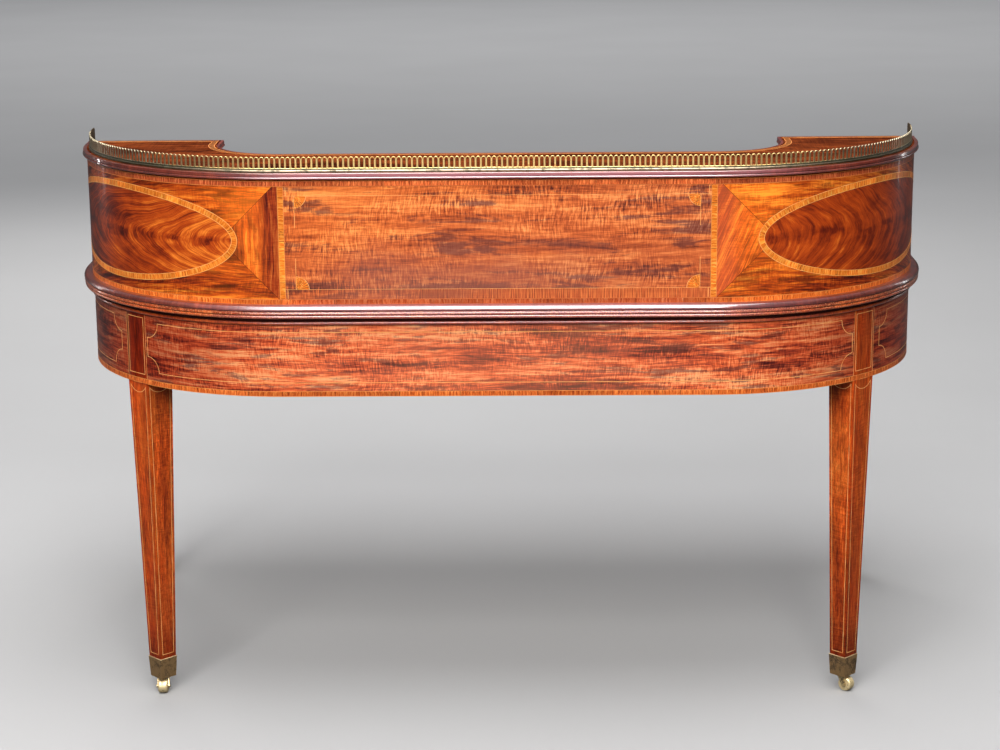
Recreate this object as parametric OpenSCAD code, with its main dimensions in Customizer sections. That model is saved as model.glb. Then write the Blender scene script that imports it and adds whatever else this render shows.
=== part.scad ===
// Carlton House writing desk: a D-plan table on four tapered legs with castors,
// three frieze drawers, and a horseshoe-shaped superstructure with a bank of small
// drawers and pigeonholes, two concave cupboards, wing drawers and a brass gallery.
// Frame: +Z up, back of the desk toward +Y, sitter at -Y, left is -X.
// Origin: floor level, centre of the overall box.

/* [Overall] */
// Width of the upper case over its veneered faces
body_w = 1470; // [1440:10:1500]
// Depth of the table body from back face to drawer fronts
body_d = 815; // [790:5:830]
// Radius of the two rounded rear corners
corner_r = 380; // [370:5:385]
// Height of the underside of the frieze above the floor
frieze_z = 572; // [560:1:580]
// Height of the frieze from its underside to the underside of the top
frieze_h = 135; // [132:1:140]
// Thickness of the writing top
top_t = 22.5; // [20:0.5:25]

/* [Upper case] */
// Height of the case between its base board and its top board
case_h = 198; // [190:1:206]
// Thickness of the case's base board
base_t = 10; // [8:1:12]
// Thickness of the case's top board
lid_t = 11; // [10:0.5:13]
// Depth of the wings from the back face to their drawer fronts
wing_d = 400; // [390:5:410]
// Depth of the centre bank from the back face to its drawer fronts
bank_d = 218; // [212:1:226]
// Half width of the open bay between the two wings
bay_half = 502; // [495:1:508]
// Radius of the concave cupboard doors
door_r = 127; // [122:1:130]
// Thickness of the curved and straight case panels
panel_t = 14; // [12:1:16]
// Thickness of a cupboard door
door_t = 15; // [14:1:16]

/* [Legs and castors] */
// Width of the square leg block inside the frieze
block_w = 53; // [50:1:56]
// Width of the leg at its top, just under the frieze
leg_top_w = 53; // [48:0.5:53]
// Width of the leg where it enters the brass cap
leg_low_w = 33.4; // [31:0.2:35]
// Height of the top rim of the brass cap above the floor
cap_z = 67; // [62:1:72]
// Radius of the castor wheel
wheel_r = 12.5; // [12:0.25:12.5]
// Width of the castor wheel
wheel_w = 16; // [14:0.5:17]
// Distance of the wheel's axle from the swivel axis
trail = 8; // [6:0.5:9]

/* [Frieze drawers] */
// Width of each side drawer's opening
side_open = 337; // [320:1:345]
// Width of the two upright dividers
divider_w = 20; // [18:1:24]
// Height of the lower front rail
low_rail_h = 16; // [14:1:20]
// Height of the upper front rail
top_rail_h = 17; // [15:1:20]
// Length of the frieze drawers from front to back
drawer_len = 480; // [440:10:490]
// Gap between a drawer and the frame around it
gap = 0.6; // [0.4:0.1:0.9]

/* [Gallery] */
// Height of the brass gallery
gallery_h = 25.8; // [20:0.2:28]
// Distance of the gallery in from the case's face
gallery_in = 5; // [4:0.5:8]
// Thickness of the pierced band
gallery_t = 1.5; // [1.2:0.1:2.0]

/* [Hidden] */
$fn = 96;

c_wood = "#7a2e12";
c_dark = "#4d1a0c";
c_inside = "#9c6b3a";
c_brass = "#b08d4a";
c_pale = "#e3d6a8";
c_leather = "#24402c";

// plan
W = body_w / 2;                 // half width of the case
inset = 2;                      // frieze set in from the case above
yb = (body_d + inset) / 2;      // back face
yf = yb - body_d;               // front face of the frieze
R = corner_r;
cx = W - R;                     // centre of the corner arc
cy = yb - R;
Rf = R - inset;
Wf = W - inset;
rail_t = 22;                    // thickness of the frieze rails
wing_y = yb - wing_d;           // face of the wing drawers
bank_y = yb - bank_d;           // face of the bank
dcx = bay_half - door_r;        // centre of the concave door
dcy = bank_y - door_r;

// heights
rail_top = frieze_z + frieze_h;
top_z = rail_top + top_t;
base_z = top_z + base_t;
lid_z = base_z + case_h;
roof_z = lid_z + lid_t;
open_z0 = frieze_z + low_rail_h;
open_z1 = rail_top - top_rail_h;

// legs
rear_c = Rf - block_w / 2;      // distance of a rear leg's axis from the corner centre
rear_x = cx + rear_c * cos(45);
rear_y = cy + rear_c * sin(45);
front_x = Wf - block_w / 2;
front_y = yf + block_w / 2;
cap_t = 1.6;
cap_base = 29;                  // underside of the brass cap
cap_floor = 3;
cap_top_w = leg_low_w + 2.8;
cap_low_w = cap_top_w - 4.2;

// frieze openings
leg_in = front_x - block_w / 2;
side_x0 = leg_in - side_open;
div_x = side_x0 - divider_w;    // half width of the centre opening
front_t = 20;                   // thickness of a drawer front

// upper case
part_t = 12;                    // bank partition
div_t = 8;                      // bank divider and shelf thickness
shelf_t = 6;
bank_half = dcx - part_t;
bank_bay = (2 * bank_half - 2 * div_t) / 3;
shelf_z = base_z + 86;
wing_x0 = bay_half + 25;        // inner side of the wing drawers
wing_x1 = W - panel_t;
wing_back = wing_y + 112;
wing_h = (case_h - shelf_t) / 2;
Ri = R - panel_t;
// door pivot, centre of the rounded hinge edge
hinge_a = 3.2;                  // its bearing from the centre of the concave door
hinge_d = door_r + door_t / 2;
px = dcx + hinge_d * cos(hinge_a);
py = dcy + hinge_d * sin(hinge_a);
pivot_r = 2.5;
close_a = 88;                   // bearing of the closing edge on the door's face
door_reach = norm([dcx + door_r * cos(close_a) - px, dcy + door_r * sin(close_a) - py]);

// gallery
Rg = R - gallery_in;
slots_arc = 68;
slots_flat = 82;

// ---------- helpers ----------
module side(s) { if (s < 0) mirror([1, 0, 0]) children(); else children(); }

module quarter(r) { intersection() { circle(r = r, $fn = 180); square([r + 5, r + 5]); } }

// D-shaped plan: straight front, rounded rear corners of radius r
module d_plan(r, front) {
    translate([-cx - r, front]) square([2 * (cx + r), cy - front]);
    translate([-cx, cy]) square([2 * cx, r]);
    for (s = [-1, 1]) side(s) translate([cx, cy]) quarter(r);
}

// plan of the open bay between the wings, shrunk by e
module bay_plan(e, front) {
    translate([-bay_half + e, front]) square([2 * (bay_half - e), dcy - front]);
    translate([-dcx, dcy]) square([2 * dcx, door_r - e]);
    for (s = [-1, 1]) side(s) translate([dcx, dcy]) quarter(door_r - e);
}

module sector(r0, r1, z0, z1, a0, a1) {
    rotate([0, 0, a0]) rotate_extrude(angle = a1 - a0, $fn = 180)
        translate([r0, z0]) square([r1 - r0, z1 - z0]);
}

// straight run of a profile (u outward, z up) from p0 to p1, outward on the right
module run(p0, p1) {
    d = p1 - p0;
    translate([p0[0], p0[1], 0]) rotate([0, 0, atan2(d[1], d[0])])
        rotate([90, 0, 90]) linear_extrude(norm(d)) mirror([1, 0]) children();
}

// outward sweep about a centre, and sweep with the profile pointing at the centre
module sweep(c, r, a0, a1) {
    translate([c[0], c[1], 0]) rotate([0, 0, a0])
        rotate_extrude(angle = a1 - a0, $fn = 180) translate([r, 0]) children();
}
module sweep_in(c, r, a0, a1) {
    translate([c[0], c[1], 0]) rotate([0, 0, a0])
        rotate_extrude(angle = a1 - a0, $fn = 180) translate([r, 0]) mirror([1, 0]) children();
}

function arc(c, r, a0, a1, n) = [for (i = [0:n]) let (a = a0 + (a1 - a0) * i / n) [c[0] + r * cos(a), c[1] + r * sin(a)]];

// ---------- mouldings ----------
// moulded edge of the writing top: flat lip, ovolo, quirk, bead and lower torus
module edge_profile() {
    z = top_z;
    polygon(concat([[0, z]],
        arc([9, z - 8.4], 8.4, 90, 0, 7),
        [[17.4, z - 9.6], [16.6, z - 9.6], [16.6, z - 10.4]],
        arc([15, z - 13.4], 3, 75, -75, 6),
        arc([10.6, z - 19], 3.4, 60, -90, 6),
        [[0, z - 22.4]]));
}
// bed moulding at the top of the frieze: cove and bead
module bed_profile() {
    z = rail_top;
    polygon(concat([[0, z]], [[11, z]],
        arc([11, z - 8.5], 7.5, 90, 180, 6),
        [[3.5, z - 9.5]],
        arc([2.6, z - 12.6], 2.6, 75, -90, 6),
        [[0, z - 15.2]]));
}
// nosing round the top of the case
module nose_profile(p) {
    z = roof_z;
    polygon(concat([[0, z]], arc([p - 4.6, z - 4.6], 4.6, 90, -55, 8), [[0, z - 10]]));
}

module edge_moulding() color(c_dark) {
    run([-Wf, yf], [Wf, yf]) edge_profile();
    for (s = [-1, 1]) side(s) {
        run([Wf, yf], [Wf, cy]) edge_profile();
        sweep([cx, cy], Rf, 0, 90) edge_profile();
        intersection() {
            run([Wf - 10, yf], [Wf + 30, yf]) edge_profile();
            run([Wf, yf - 30], [Wf, yf + 10]) edge_profile();
            translate([Wf, yf - 30, 0]) cube([30, 30, 2000]);
        }
    }
    run([cx, yb - inset], [-cx, yb - inset]) edge_profile();
}

module frieze_moulding() color(c_dark) {
    run([-Wf, yf], [Wf, yf]) bed_profile();
    for (s = [-1, 1]) side(s) {
        run([Wf, yf], [Wf, cy]) bed_profile();
        sweep([cx, cy], Rf, 0, 90) bed_profile();
        intersection() {
            run([Wf - 10, yf], [Wf + 30, yf]) bed_profile();
            run([Wf, yf - 30], [Wf, yf + 10]) bed_profile();
            translate([Wf, yf - 30, 0]) cube([30, 30, 2000]);
        }
    }
    run([cx, yb - inset], [-cx, yb - inset]) bed_profile();
}

module top_moulding() color(c_dark) {
    for (s = [-1, 1]) side(s) {
        run([W, wing_y], [W, cy]) nose_profile(7.5);
        sweep([cx, cy], R, 0, 90) nose_profile(7.5);
    }
    run([cx, yb], [-cx, yb]) nose_profile(7.5);
}

module inner_moulding() color(c_dark) {
    for (s = [-1, 1]) side(s) {
        run([bay_half, wing_y], [W + 7.5, wing_y]) nose_profile(6);
        sweep([bay_half, wing_y], 0, 180, 270) nose_profile(6);
        run([bay_half, dcy], [bay_half, wing_y]) nose_profile(6);
        sweep_in([dcx, dcy], door_r, 0, 90) nose_profile(6);
    }
    run([-dcx, bank_y], [dcx, bank_y]) nose_profile(6);
}

// ---------- table ----------
module taper(w1, z1, w0, z0) {
    pts = [[-w0 / 2, z0], [w0 / 2, z0], [w1 / 2, z1], [-w1 / 2, z1]];
    intersection() {
        rotate([90, 0, 0]) linear_extrude(200, center = true) polygon(pts);
        rotate([90, 0, 90]) linear_extrude(200, center = true) polygon(pts);
    }
}

// leg below the frieze: taper, reduced end in the cap, blind hole for the castor's stem
module leg_shaft() {
    difference() {
        union() {
            taper(leg_top_w, frieze_z, leg_low_w, cap_z);
            taper(cap_top_w - 2 * cap_t, cap_z, cap_low_w - 2 * cap_t, cap_base + cap_floor);
        }
        translate([0, 0, 20]) cylinder(r = 3.5, h = 36);
    }
}

module rear_leg(s) color(c_wood) side(s) {
    translate([rear_x, rear_y, 0]) rotate([0, 0, 45]) leg_shaft();
    translate([cx, cy, 0]) intersection() {
        rotate([0, 0, 45]) translate([Rf - block_w, -block_w / 2, frieze_z]) cube([block_w + 10, block_w, frieze_h]);
        translate([0, 0, frieze_z]) cylinder(r = Rf, h = frieze_h, $fn = 180);
    }
}

module front_leg(s) color(c_wood) side(s) {
    translate([front_x - 1, front_y, 0]) leg_shaft();
    translate([front_x - block_w / 2, yf, frieze_z]) cube([block_w, block_w, frieze_h]);
}

module back_rail() color(c_wood) {
    difference() {
        union() {
            translate([-cx, yb - inset - rail_t, frieze_z]) cube([2 * cx, rail_t, frieze_h]);
            for (s = [-1, 1]) side(s) translate([cx, cy, 0]) sector(Rf - rail_t, Rf, frieze_z, rail_top, 44, 90);
        }
        for (s = [-1, 1]) side(s) translate([cx, cy, frieze_z - 1]) rotate([0, 0, 45])
            translate([200, -60, 0]) cube([300, 60 + block_w / 2, frieze_h + 2]);
    }
}

module side_rail(s) color(c_wood) side(s) {
    difference() {
        union() {
            translate([Wf - rail_t, yf + block_w, frieze_z]) cube([rail_t, cy - yf - block_w, frieze_h]);
            translate([cx, cy, 0]) sector(Rf - rail_t, Rf, frieze_z, rail_top, 0, 46);
        }
        translate([cx, cy, frieze_z - 1]) rotate([0, 0, 45])
            translate([200, -block_w / 2, 0]) cube([300, 60 + block_w / 2, frieze_h + 2]);
    }
}

module front_rail_upper() color(c_wood)
    translate([-leg_in, yf, open_z1]) cube([2 * leg_in, 40, top_rail_h]);
module front_rail_lower() color(c_wood)
    translate([-leg_in, yf, frieze_z]) cube([2 * leg_in, 40, low_rail_h]);

module drawer_dividers() color(c_wood) for (s = [-1, 1]) side(s)
    translate([div_x, yf, open_z0]) cube([divider_w, 40, open_z1 - open_z0]);

// two inner runners of T section and two outer ones of L section
module drawer_runners() color(c_inside) {
    for (s = [-1, 1]) side(s) {
        translate([div_x - 16, yf + 40, frieze_z + 4]) cube([divider_w + 32, yb - inset - rail_t - yf - 40, low_rail_h - 4]);
        translate([div_x + 1, yf + 40, open_z0]) cube([divider_w - 2, 440, 20]);
        intersection() {
            union() {
                translate([leg_in - 14, yf + block_w, frieze_z + 4]) cube([Wf - rail_t - leg_in + 14, 470, low_rail_h - 4]);
                translate([leg_in + 1, yf + block_w, open_z0]) cube([Wf - rail_t - leg_in - 1, 470, 20]);
            }
            translate([0, 0, frieze_z]) linear_extrude(frieze_h) d_plan(Rf - rail_t, yf);
        }
    }
}

leather_in = 45;
module leather_plan() {
    translate([-Wf + leather_in, yf + leather_in]) square([2 * (Wf - leather_in), wing_y - yf - 2 * leather_in]);
    bay_plan(leather_in, wing_y - leather_in - 1);
}

module desk_top() color(c_wood) difference() {
    translate([0, 0, rail_top]) linear_extrude(top_t) d_plan(Rf, yf);
    translate([0, 0, top_z - 1.5]) linear_extrude(5) leather_plan();
}
module writing_leather() color(c_leather)
    translate([0, 0, top_z - 1.5]) linear_extrude(1.5) leather_plan();

// ---------- upper case ----------
// three boards: one across the back and one under each wing, with a fine joint between
module upper_base() color(c_wood) difference() {
    translate([0, 0, top_z]) linear_extrude(base_t) difference() {
        d_plan(Ri, wing_y);
        bay_plan(0, wing_y - 5);
        translate([-W, dcy - 0.1]) square([2 * W, 0.1]);
    }
    for (s = [-1, 1]) side(s) translate([px, py, base_z - 6]) cylinder(r = pivot_r, h = 10, $fn = 48);
}

module upper_top() color(c_wood) difference() {
    translate([0, 0, lid_z]) linear_extrude(lid_t) difference() {
        d_plan(R, wing_y);
        bay_plan(0, wing_y - 5);
    }
    for (s = [-1, 1]) side(s) translate([px, py, lid_z - 4]) cylinder(r = pivot_r, h = 10, $fn = 48);
}

module back_panel() color(c_wood)
    translate([-cx, yb - panel_t, top_z]) cube([2 * cx, panel_t, lid_z - top_z]);

module end_panel(s) color(c_wood) side(s) {
    translate([cx, cy, 0]) sector(Ri, R, top_z, lid_z, 0, 90);
    translate([W - panel_t, wing_y, top_z]) cube([panel_t, cy - wing_y, lid_z - top_z]);
}

// bearing at which a circle of radius d about the pivot crosses the ring of radius r
function on_ring(r, d) = hinge_a + acos((r * r + hinge_d * hinge_d - d * d) / (2 * r * hinge_d));
// bearing of a ring point seen from the pivot
function from_pivot(r, a) = atan2(dcy + r * sin(a) - py, dcx + r * cos(a) - px);
// inner face of the back and rounded end panels at x
function back_at(x) = cy + sqrt(Ri * Ri - pow(max(0, x - cx), 2));

// partition between the bank and a corner cupboard, with the door's closing post
module bank_partition(s) color(c_wood) side(s) {
    d = door_reach + 0.7;
    ro = door_r + door_t;
    a0 = on_ring(door_r, d);
    a1 = on_ring(ro, d);
    translate([0, 0, base_z]) linear_extrude(case_h) polygon(concat(
        [[bank_half, back_at(bank_half)], [bank_half, bank_y]],
        arc([dcx, dcy], door_r, 90, a0, 2),
        arc([px, py], d, from_pivot(door_r, a0) - 0.8, from_pivot(ro, a1), 4),
        arc([dcx, dcy], ro, a1 + 1, 90, 4),
        [[dcx, back_at(dcx)]]));
}

// shelf and dividers are halved into each other like an egg crate
module bank_shelf() color(c_inside) difference() {
    translate([0, 0, shelf_z]) linear_extrude(shelf_t) polygon([
        [-bank_half, bank_y + 1], [bank_half, bank_y + 1], [bank_half, back_at(bank_half)],
        [cx, yb - panel_t], [-cx, yb - panel_t], [-bank_half, back_at(bank_half)]]);
    for (s = [-1, 1]) side(s)
        translate([bank_bay / 2, bank_y + 100, shelf_z - 1]) cube([div_t, bank_d, shelf_t + 2]);
}
module bank_dividers() color(c_inside) for (s = [-1, 1]) side(s) difference() {
    translate([bank_bay / 2, bank_y + 1, base_z]) cube([div_t, bank_d - panel_t - 1, case_h]);
    translate([bank_bay / 2 - 1, bank_y, shelf_z]) cube([div_t + 2, 100, shelf_t]);
}

// wing side: a wide stile at the front and a guide wall behind the door's hinge edge
module wing_cheek(s) color(c_wood) side(s)
    translate([0, 0, base_z]) linear_extrude(case_h) polygon([
        [bay_half, wing_y], [wing_x0, wing_y], [wing_x0, wing_back], [px + door_t / 2 + 2, wing_back],
        [px + door_t / 2 + 2, dcy - 1], [bay_half, dcy - 1]]);

module wing_partitions() color(c_inside) for (s = [-1, 1]) side(s)
    translate([0, 0, base_z]) linear_extrude(case_h) intersection() {
        translate([px + door_t / 2 + 2, wing_back]) square([300, 8]);
        translate([cx, cy]) circle(r = Ri, $fn = 180);
    }

module wing_shelves() color(c_inside) for (s = [-1, 1]) side(s)
    translate([0, 0, base_z + wing_h]) linear_extrude(shelf_t) intersection() {
        translate([wing_x0, wing_y + 1]) square([300, 111]);
        union() {
            translate([cx, cy]) circle(r = Ri, $fn = 180);
            translate([wing_x0, wing_y + 1]) square([wing_x1 - wing_x0, cy - wing_y - 1]);
        }
    }

module door_pivots() color(c_brass) for (s = [-1, 1]) side(s) {
    translate([px, py, base_z - 6]) cylinder(r = pivot_r, h = 16, $fn = 48);
    translate([px, py, lid_z - 10]) cylinder(r = pivot_r, h = 16, $fn = 48);
}

module knob(p, dir) {
    translate(p) rotate([0, 0, dir]) rotate([90, 0, 0]) rotate_extrude($fn = 48)
        polygon([[0, 0], [5, 0], [5, 1.2], [2.4, 2], [2.2, 5], [4.2, 6.5], [6, 9], [5.6, 11], [3.6, 12.4], [0, 13]]);
}

// concave cupboard door, rounded hinge edge, closing edge struck from the pivot
module door(s) color(c_wood) side(s) {
    ro = door_r + door_t;
    a1 = on_ring(ro, door_reach);
    difference() {
        translate([0, 0, base_z + 1]) linear_extrude(case_h - 2) polygon(concat(
            arc([dcx, dcy], door_r, hinge_a, close_a, 44),
            arc([px, py], door_reach, from_pivot(door_r, close_a) - 0.8, from_pivot(ro, a1), 4),
            arc([dcx, dcy], ro, a1 - 1, hinge_a, 42),
            arc([px, py], door_t / 2, hinge_a - 12, hinge_a - 168, 13)));
        for (z = [base_z - 1, lid_z - 11]) translate([px, py, z]) cylinder(r = pivot_r + 0.06, h = 12, $fn = 48);
    }
    ka = 78;
    knob([dcx + door_r * cos(ka), dcy + door_r * sin(ka), base_z + case_h / 2], ka - 90);
}

// open-topped drawer: front, two sides, back and bottom; front face at y
module drawer(w, h, len, ft, st, box_w, box_off) {
    translate([-w / 2, 0, 0]) cube([w, ft, h]);
    translate([box_off - box_w / 2, 0, 0]) difference() {
        translate([0, ft, 0]) cube([box_w, len - ft, h - 8]);
        translate([st, ft, 7]) cube([box_w - 2 * st, len - ft - st, h]);
    }
}

module frieze_drawer(x, w) color(c_wood)
    translate([x, yf, open_z0 + gap])
        drawer(w - 2 * gap, open_z1 - open_z0 - 2 * gap, drawer_len, front_t, 10, w - 2 * gap - 2, 0);

handle_z = (open_z0 + open_z1) / 2 + 6;
post_x = 31.5;
axis_y = 10.5;
// oval back plate with two posts bored for the bail
module handle_plate(x) translate([x, yf, handle_z]) {
    difference() {
        union() {
            rotate([90, 0, 0]) linear_extrude(1.2) intersection() {
                translate([0, -40]) circle(r = 62, $fn = 120);
                translate([0, 40]) circle(r = 62, $fn = 120);
            }
            for (s = [-1, 1]) translate([s * post_x, 0, 0]) rotate([90, 0, 0]) cylinder(r = 4.5, h = 15.5, $fn = 48);
        }
        for (s = [-1, 1]) translate([s * post_x - 8, -axis_y, 0]) rotate([0, 90, 0]) cylinder(r = 1.56, h = 16, $fn = 48);
    }
}
module escutcheon(x) translate([x, yf, open_z1 - 22]) rotate([90, 0, 0]) difference() {
    cylinder(r = 7, h = 1.2, $fn = 48);
    translate([0, 0, -1]) cylinder(r = 2, h = 4, $fn = 24);
}
bail_x = 165;
module handle_plates_left() color(c_brass) { handle_plate(-side_x0 - side_open / 2); }
module handle_plates_right() color(c_brass) { handle_plate(side_x0 + side_open / 2); }
module handle_plates_centre() color(c_brass) { handle_plate(-bail_x); handle_plate(bail_x); escutcheon(0); }

module bail(x) color(c_brass) translate([x, yf - axis_y, handle_z]) {
    rotate([90, 0, 0]) rotate([0, 0, 180]) rotate_extrude(angle = 180, $fn = 72) translate([23.5, 0]) circle(r = 2.2, $fn = 32);
    for (s = [-1, 1]) {
        translate([s * 23.5, 0, 0]) sphere(r = 2.2, $fn = 32);
        translate([s * 28.5 - 5.5, 0, 0]) rotate([0, 90, 0]) cylinder(r = 1.5, h = 11, $fn = 32);
    }
}

bank_front = 12;
module bank_drawer(k) color(c_wood) {
    x = k * (bank_bay + div_t);
    translate([x, bank_y, base_z + gap])
        drawer(bank_bay - 2 * gap, shelf_z - base_z - 2 * gap, bank_d - panel_t - 4, bank_front, 6, bank_bay - 2 * gap - 1, 0);
    knob([x, bank_y, (base_z + shelf_z) / 2], 0);
}

module wing_drawer(s, k) color(c_wood) side(s) {
    w = wing_x1 - wing_x0;
    z = base_z + k * (wing_h + shelf_t);
    xm = (wing_x0 + wing_x1) / 2;
    bw = w - 15;
    translate([xm, wing_y, z + gap])
        drawer(w - 2 * gap, wing_h - 2 * gap, 110, bank_front, 6, bw, -(w - bw) / 2 + 1);
    knob([xm, wing_y, z + wing_h / 2], 0);
}

// ---------- gallery ----------
module slot2d() { translate([-2.5, 0]) square([5, 11.2]); circle(r = 2.5, $fn = 24); translate([0, 11.2]) circle(r = 2.5, $fn = 24); }

module gallery_profile() {
    polygon([[-5.5, roof_z], [1.5, roof_z], [1.5, roof_z + 1.6], [0.8, roof_z + 2.4], [0, roof_z + 3.4],
        [0, roof_z + gallery_h], [-gallery_t, roof_z + gallery_h], [-gallery_t, roof_z + 3.4], [-5.5, roof_z + 2]]);
}
module gallery() color(c_brass) {
    for (s = [-1, 1]) side(s) {
        difference() {
            sweep([cx, cy], Rg, 0, 90) gallery_profile();
            for (i = [3:slots_arc - 1]) translate([cx, cy, roof_z + 9.7])
                rotate([0, 0, 90 * (i + 0.5) / slots_arc]) translate([Rg + 4, 0, 0]) rotate([90, 0, -90]) linear_extrude(8) slot2d();
        }
        run([cx + Rg, cy - 14], [cx + Rg, cy]) gallery_profile();
    }
    difference() {
        run([cx, cy + Rg], [-cx, cy + Rg]) gallery_profile();
        for (i = [0:slots_flat - 1]) translate([-cx + 2 * cx * (i + 0.5) / slots_flat, cy + Rg + 4, roof_z + 9.7])
            rotate([90, 0, 0]) linear_extrude(8) slot2d();
    }
}

// ---------- castors ----------
module cap(p, a) translate([p[0], p[1], 0]) rotate([0, 0, a]) difference() {
    taper(cap_top_w, cap_z, cap_low_w, cap_base);
    difference() {
        taper(cap_top_w - 2 * cap_t, cap_z, cap_low_w - 2 * cap_t, cap_base + cap_floor);
        translate([-50, -50, 0]) cube([100, 100, cap_base + cap_floor]);
    }
    translate([0, 0, cap_base - 1]) cylinder(r = 3.06, h = 10, $fn = 48);
}
rear_p = [rear_x, rear_y];
front_p = [front_x - 1, front_y];
module castor_caps() color(c_brass) for (s = [-1, 1]) side(s) { cap(rear_p, 45); cap(front_p, 0); }

// fork: top plate, stem, two arms with bosses, riveted axle
module yoke(p, a) color(c_brass) translate([p[0], p[1], 0]) rotate([0, 0, a]) {
    aw = wheel_w / 2 + 0.5;
    at = 2.2;
    translate([0, 0, cap_base - 0.6]) cylinder(r = 3, h = 25, $fn = 48);
    translate([0, 0, cap_base - 2.8]) cylinder(r = aw + at, h = 2.2, $fn = 64);
    for (s = [-1, 1]) translate([0, s * (aw + at / 2), 0]) rotate([90, 0, 0]) linear_extrude(at, center = true)
        polygon([[-5, cap_base - 0.6], [5, cap_base - 0.6], [trail + 4.2, wheel_r + 1], [trail + 3, wheel_r - 3.4],
            [trail, wheel_r - 4.6], [trail - 3, wheel_r - 3.4], [trail - 4.6, wheel_r + 1]]);
    translate([trail, 0, wheel_r]) rotate([90, 0, 0]) cylinder(r = 2, h = 2 * (aw + at) + 2, center = true, $fn = 48);
    for (s = [-1, 1]) translate([trail, s * (aw + at + 0.5), wheel_r]) rotate([90, 0, 0]) cylinder(r = 3.4, h = 1, center = true, $fn = 48);
}
module wheel(p, a) color(c_pale) translate([p[0], p[1], 0]) rotate([0, 0, a]) translate([trail, 0, wheel_r])
    rotate([90, 0, 0]) rotate_extrude($fn = 96)
        polygon([[2.06, -wheel_w / 2], [wheel_r - 1.5, -wheel_w / 2], [wheel_r, -wheel_w / 2 + 1.8],
            [wheel_r, wheel_w / 2 - 1.8], [wheel_r - 1.5, wheel_w / 2], [2.06, wheel_w / 2]]);

// heading of each castor at rest, as it was left when the desk was last rolled
a_rl = 142;
a_rr = 92;
a_fl = 120;
a_fr = 75;
function mir(p) = [-p[0], p[1]];

rear_leg(-1);  // leg_rear_left
rear_leg(1);  // leg_rear_right
front_leg(-1);  // leg_front_left
front_leg(1);  // leg_front_right
back_rail();
side_rail(-1);  // side_rail_left
side_rail(1);  // side_rail_right
front_rail_upper();
front_rail_lower();
drawer_dividers();
drawer_runners();
desk_top();
edge_moulding();
frieze_moulding();
writing_leather();
upper_base();
back_panel();
end_panel(-1);  // end_panel_left
end_panel(1);  // end_panel_right
upper_top();
top_moulding();
inner_moulding();
gallery();
bank_partition(-1);  // bank_partition_left
bank_partition(1);  // bank_partition_right
bank_shelf();
bank_dividers();
wing_cheek(-1);  // wing_cheek_left
wing_cheek(1);  // wing_cheek_right
wing_partitions();
wing_shelves();
door_pivots();
castor_caps();
door(-1);  // door_left
door(1);  // door_right
frieze_drawer(-side_x0 - side_open / 2, side_open);  // frieze_drawer_left
frieze_drawer(0, 2 * div_x);  // frieze_drawer_centre
frieze_drawer(side_x0 + side_open / 2, side_open);  // frieze_drawer_right
handle_plates_left();
handle_plates_centre();
handle_plates_right();
bail(-side_x0 - side_open / 2);  // bail_left
bail(-bail_x);  // bail_centre_left
bail(bail_x);  // bail_centre_right
bail(side_x0 + side_open / 2);  // bail_right
bank_drawer(-1);  // bank_drawer_left
bank_drawer(0);  // bank_drawer_centre
bank_drawer(1);  // bank_drawer_right
wing_drawer(-1, 0);  // wing_drawer_left_lower
wing_drawer(-1, 1);  // wing_drawer_left_upper
wing_drawer(1, 0);  // wing_drawer_right_lower
wing_drawer(1, 1);  // wing_drawer_right_upper
yoke(mir(rear_p), a_rl);  // castor_yoke_rear_left
yoke(rear_p, a_rr);  // castor_yoke_rear_right
yoke(mir(front_p), a_fl);  // castor_yoke_front_left
yoke(front_p, a_fr);  // castor_yoke_front_right
wheel(mir(rear_p), a_rl);  // castor_wheel_rear_left
wheel(rear_p, a_rr);  // castor_wheel_rear_right
wheel(mir(front_p), a_fl);  // castor_wheel_front_left
wheel(front_p, a_fr);  // castor_wheel_front_right
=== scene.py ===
import math

import bmesh
import bpy
from mathutils import Matrix, Vector


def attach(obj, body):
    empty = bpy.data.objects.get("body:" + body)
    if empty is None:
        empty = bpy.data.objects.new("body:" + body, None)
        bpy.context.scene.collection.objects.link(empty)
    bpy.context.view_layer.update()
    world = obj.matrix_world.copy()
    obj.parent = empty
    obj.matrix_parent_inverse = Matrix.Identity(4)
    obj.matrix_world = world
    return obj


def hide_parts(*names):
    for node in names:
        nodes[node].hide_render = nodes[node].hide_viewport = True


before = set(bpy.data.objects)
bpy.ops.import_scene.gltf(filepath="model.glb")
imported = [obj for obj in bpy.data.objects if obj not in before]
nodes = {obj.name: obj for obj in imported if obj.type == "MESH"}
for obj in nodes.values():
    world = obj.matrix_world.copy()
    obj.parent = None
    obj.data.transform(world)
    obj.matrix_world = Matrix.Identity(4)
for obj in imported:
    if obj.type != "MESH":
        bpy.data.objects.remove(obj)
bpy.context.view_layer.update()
scene = bpy.context.scene
pi = math.pi

# ------------------------------------------------------------------
# the desk's own sizes, in metres (row frame: +Y is the desk's back)
# ------------------------------------------------------------------
W, Wf = 0.735, 0.733
R, Rf = 0.380, 0.378
CX, CY = 0.355, 0.0285
YB, YF = 0.4085, -0.4065
FRIEZE_Z, RAIL_TOP, TOP_Z, BASE_Z, LID_Z, ROOF_Z = 0.572, 0.707, 0.7295, 0.7395, 0.9375, 0.9485
OPEN_Z0, OPEN_Z1 = 0.588, 0.690
WING_Y, BANK_Y = 0.0085, 0.1905
DCX, DCY, DOOR_R, DOOR_T = 0.375, 0.0635, 0.127, 0.015
BAY = 0.502
BLOCK = 0.053
PANEL_T = 0.014
SIDE_X0, LEG_IN, DIV_X = 0.343, 0.680, 0.323
GAP = 0.0006
S_CORNER = CX + R * pi / 2
S_CORNER_F = CX + Rf * pi / 2
S_BLOCK = CX + Rf * pi / 4
S_CASE_END = S_CORNER + CY - WING_Y
S_LEG = S_CORNER_F + CY - (YF + BLOCK)
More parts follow.
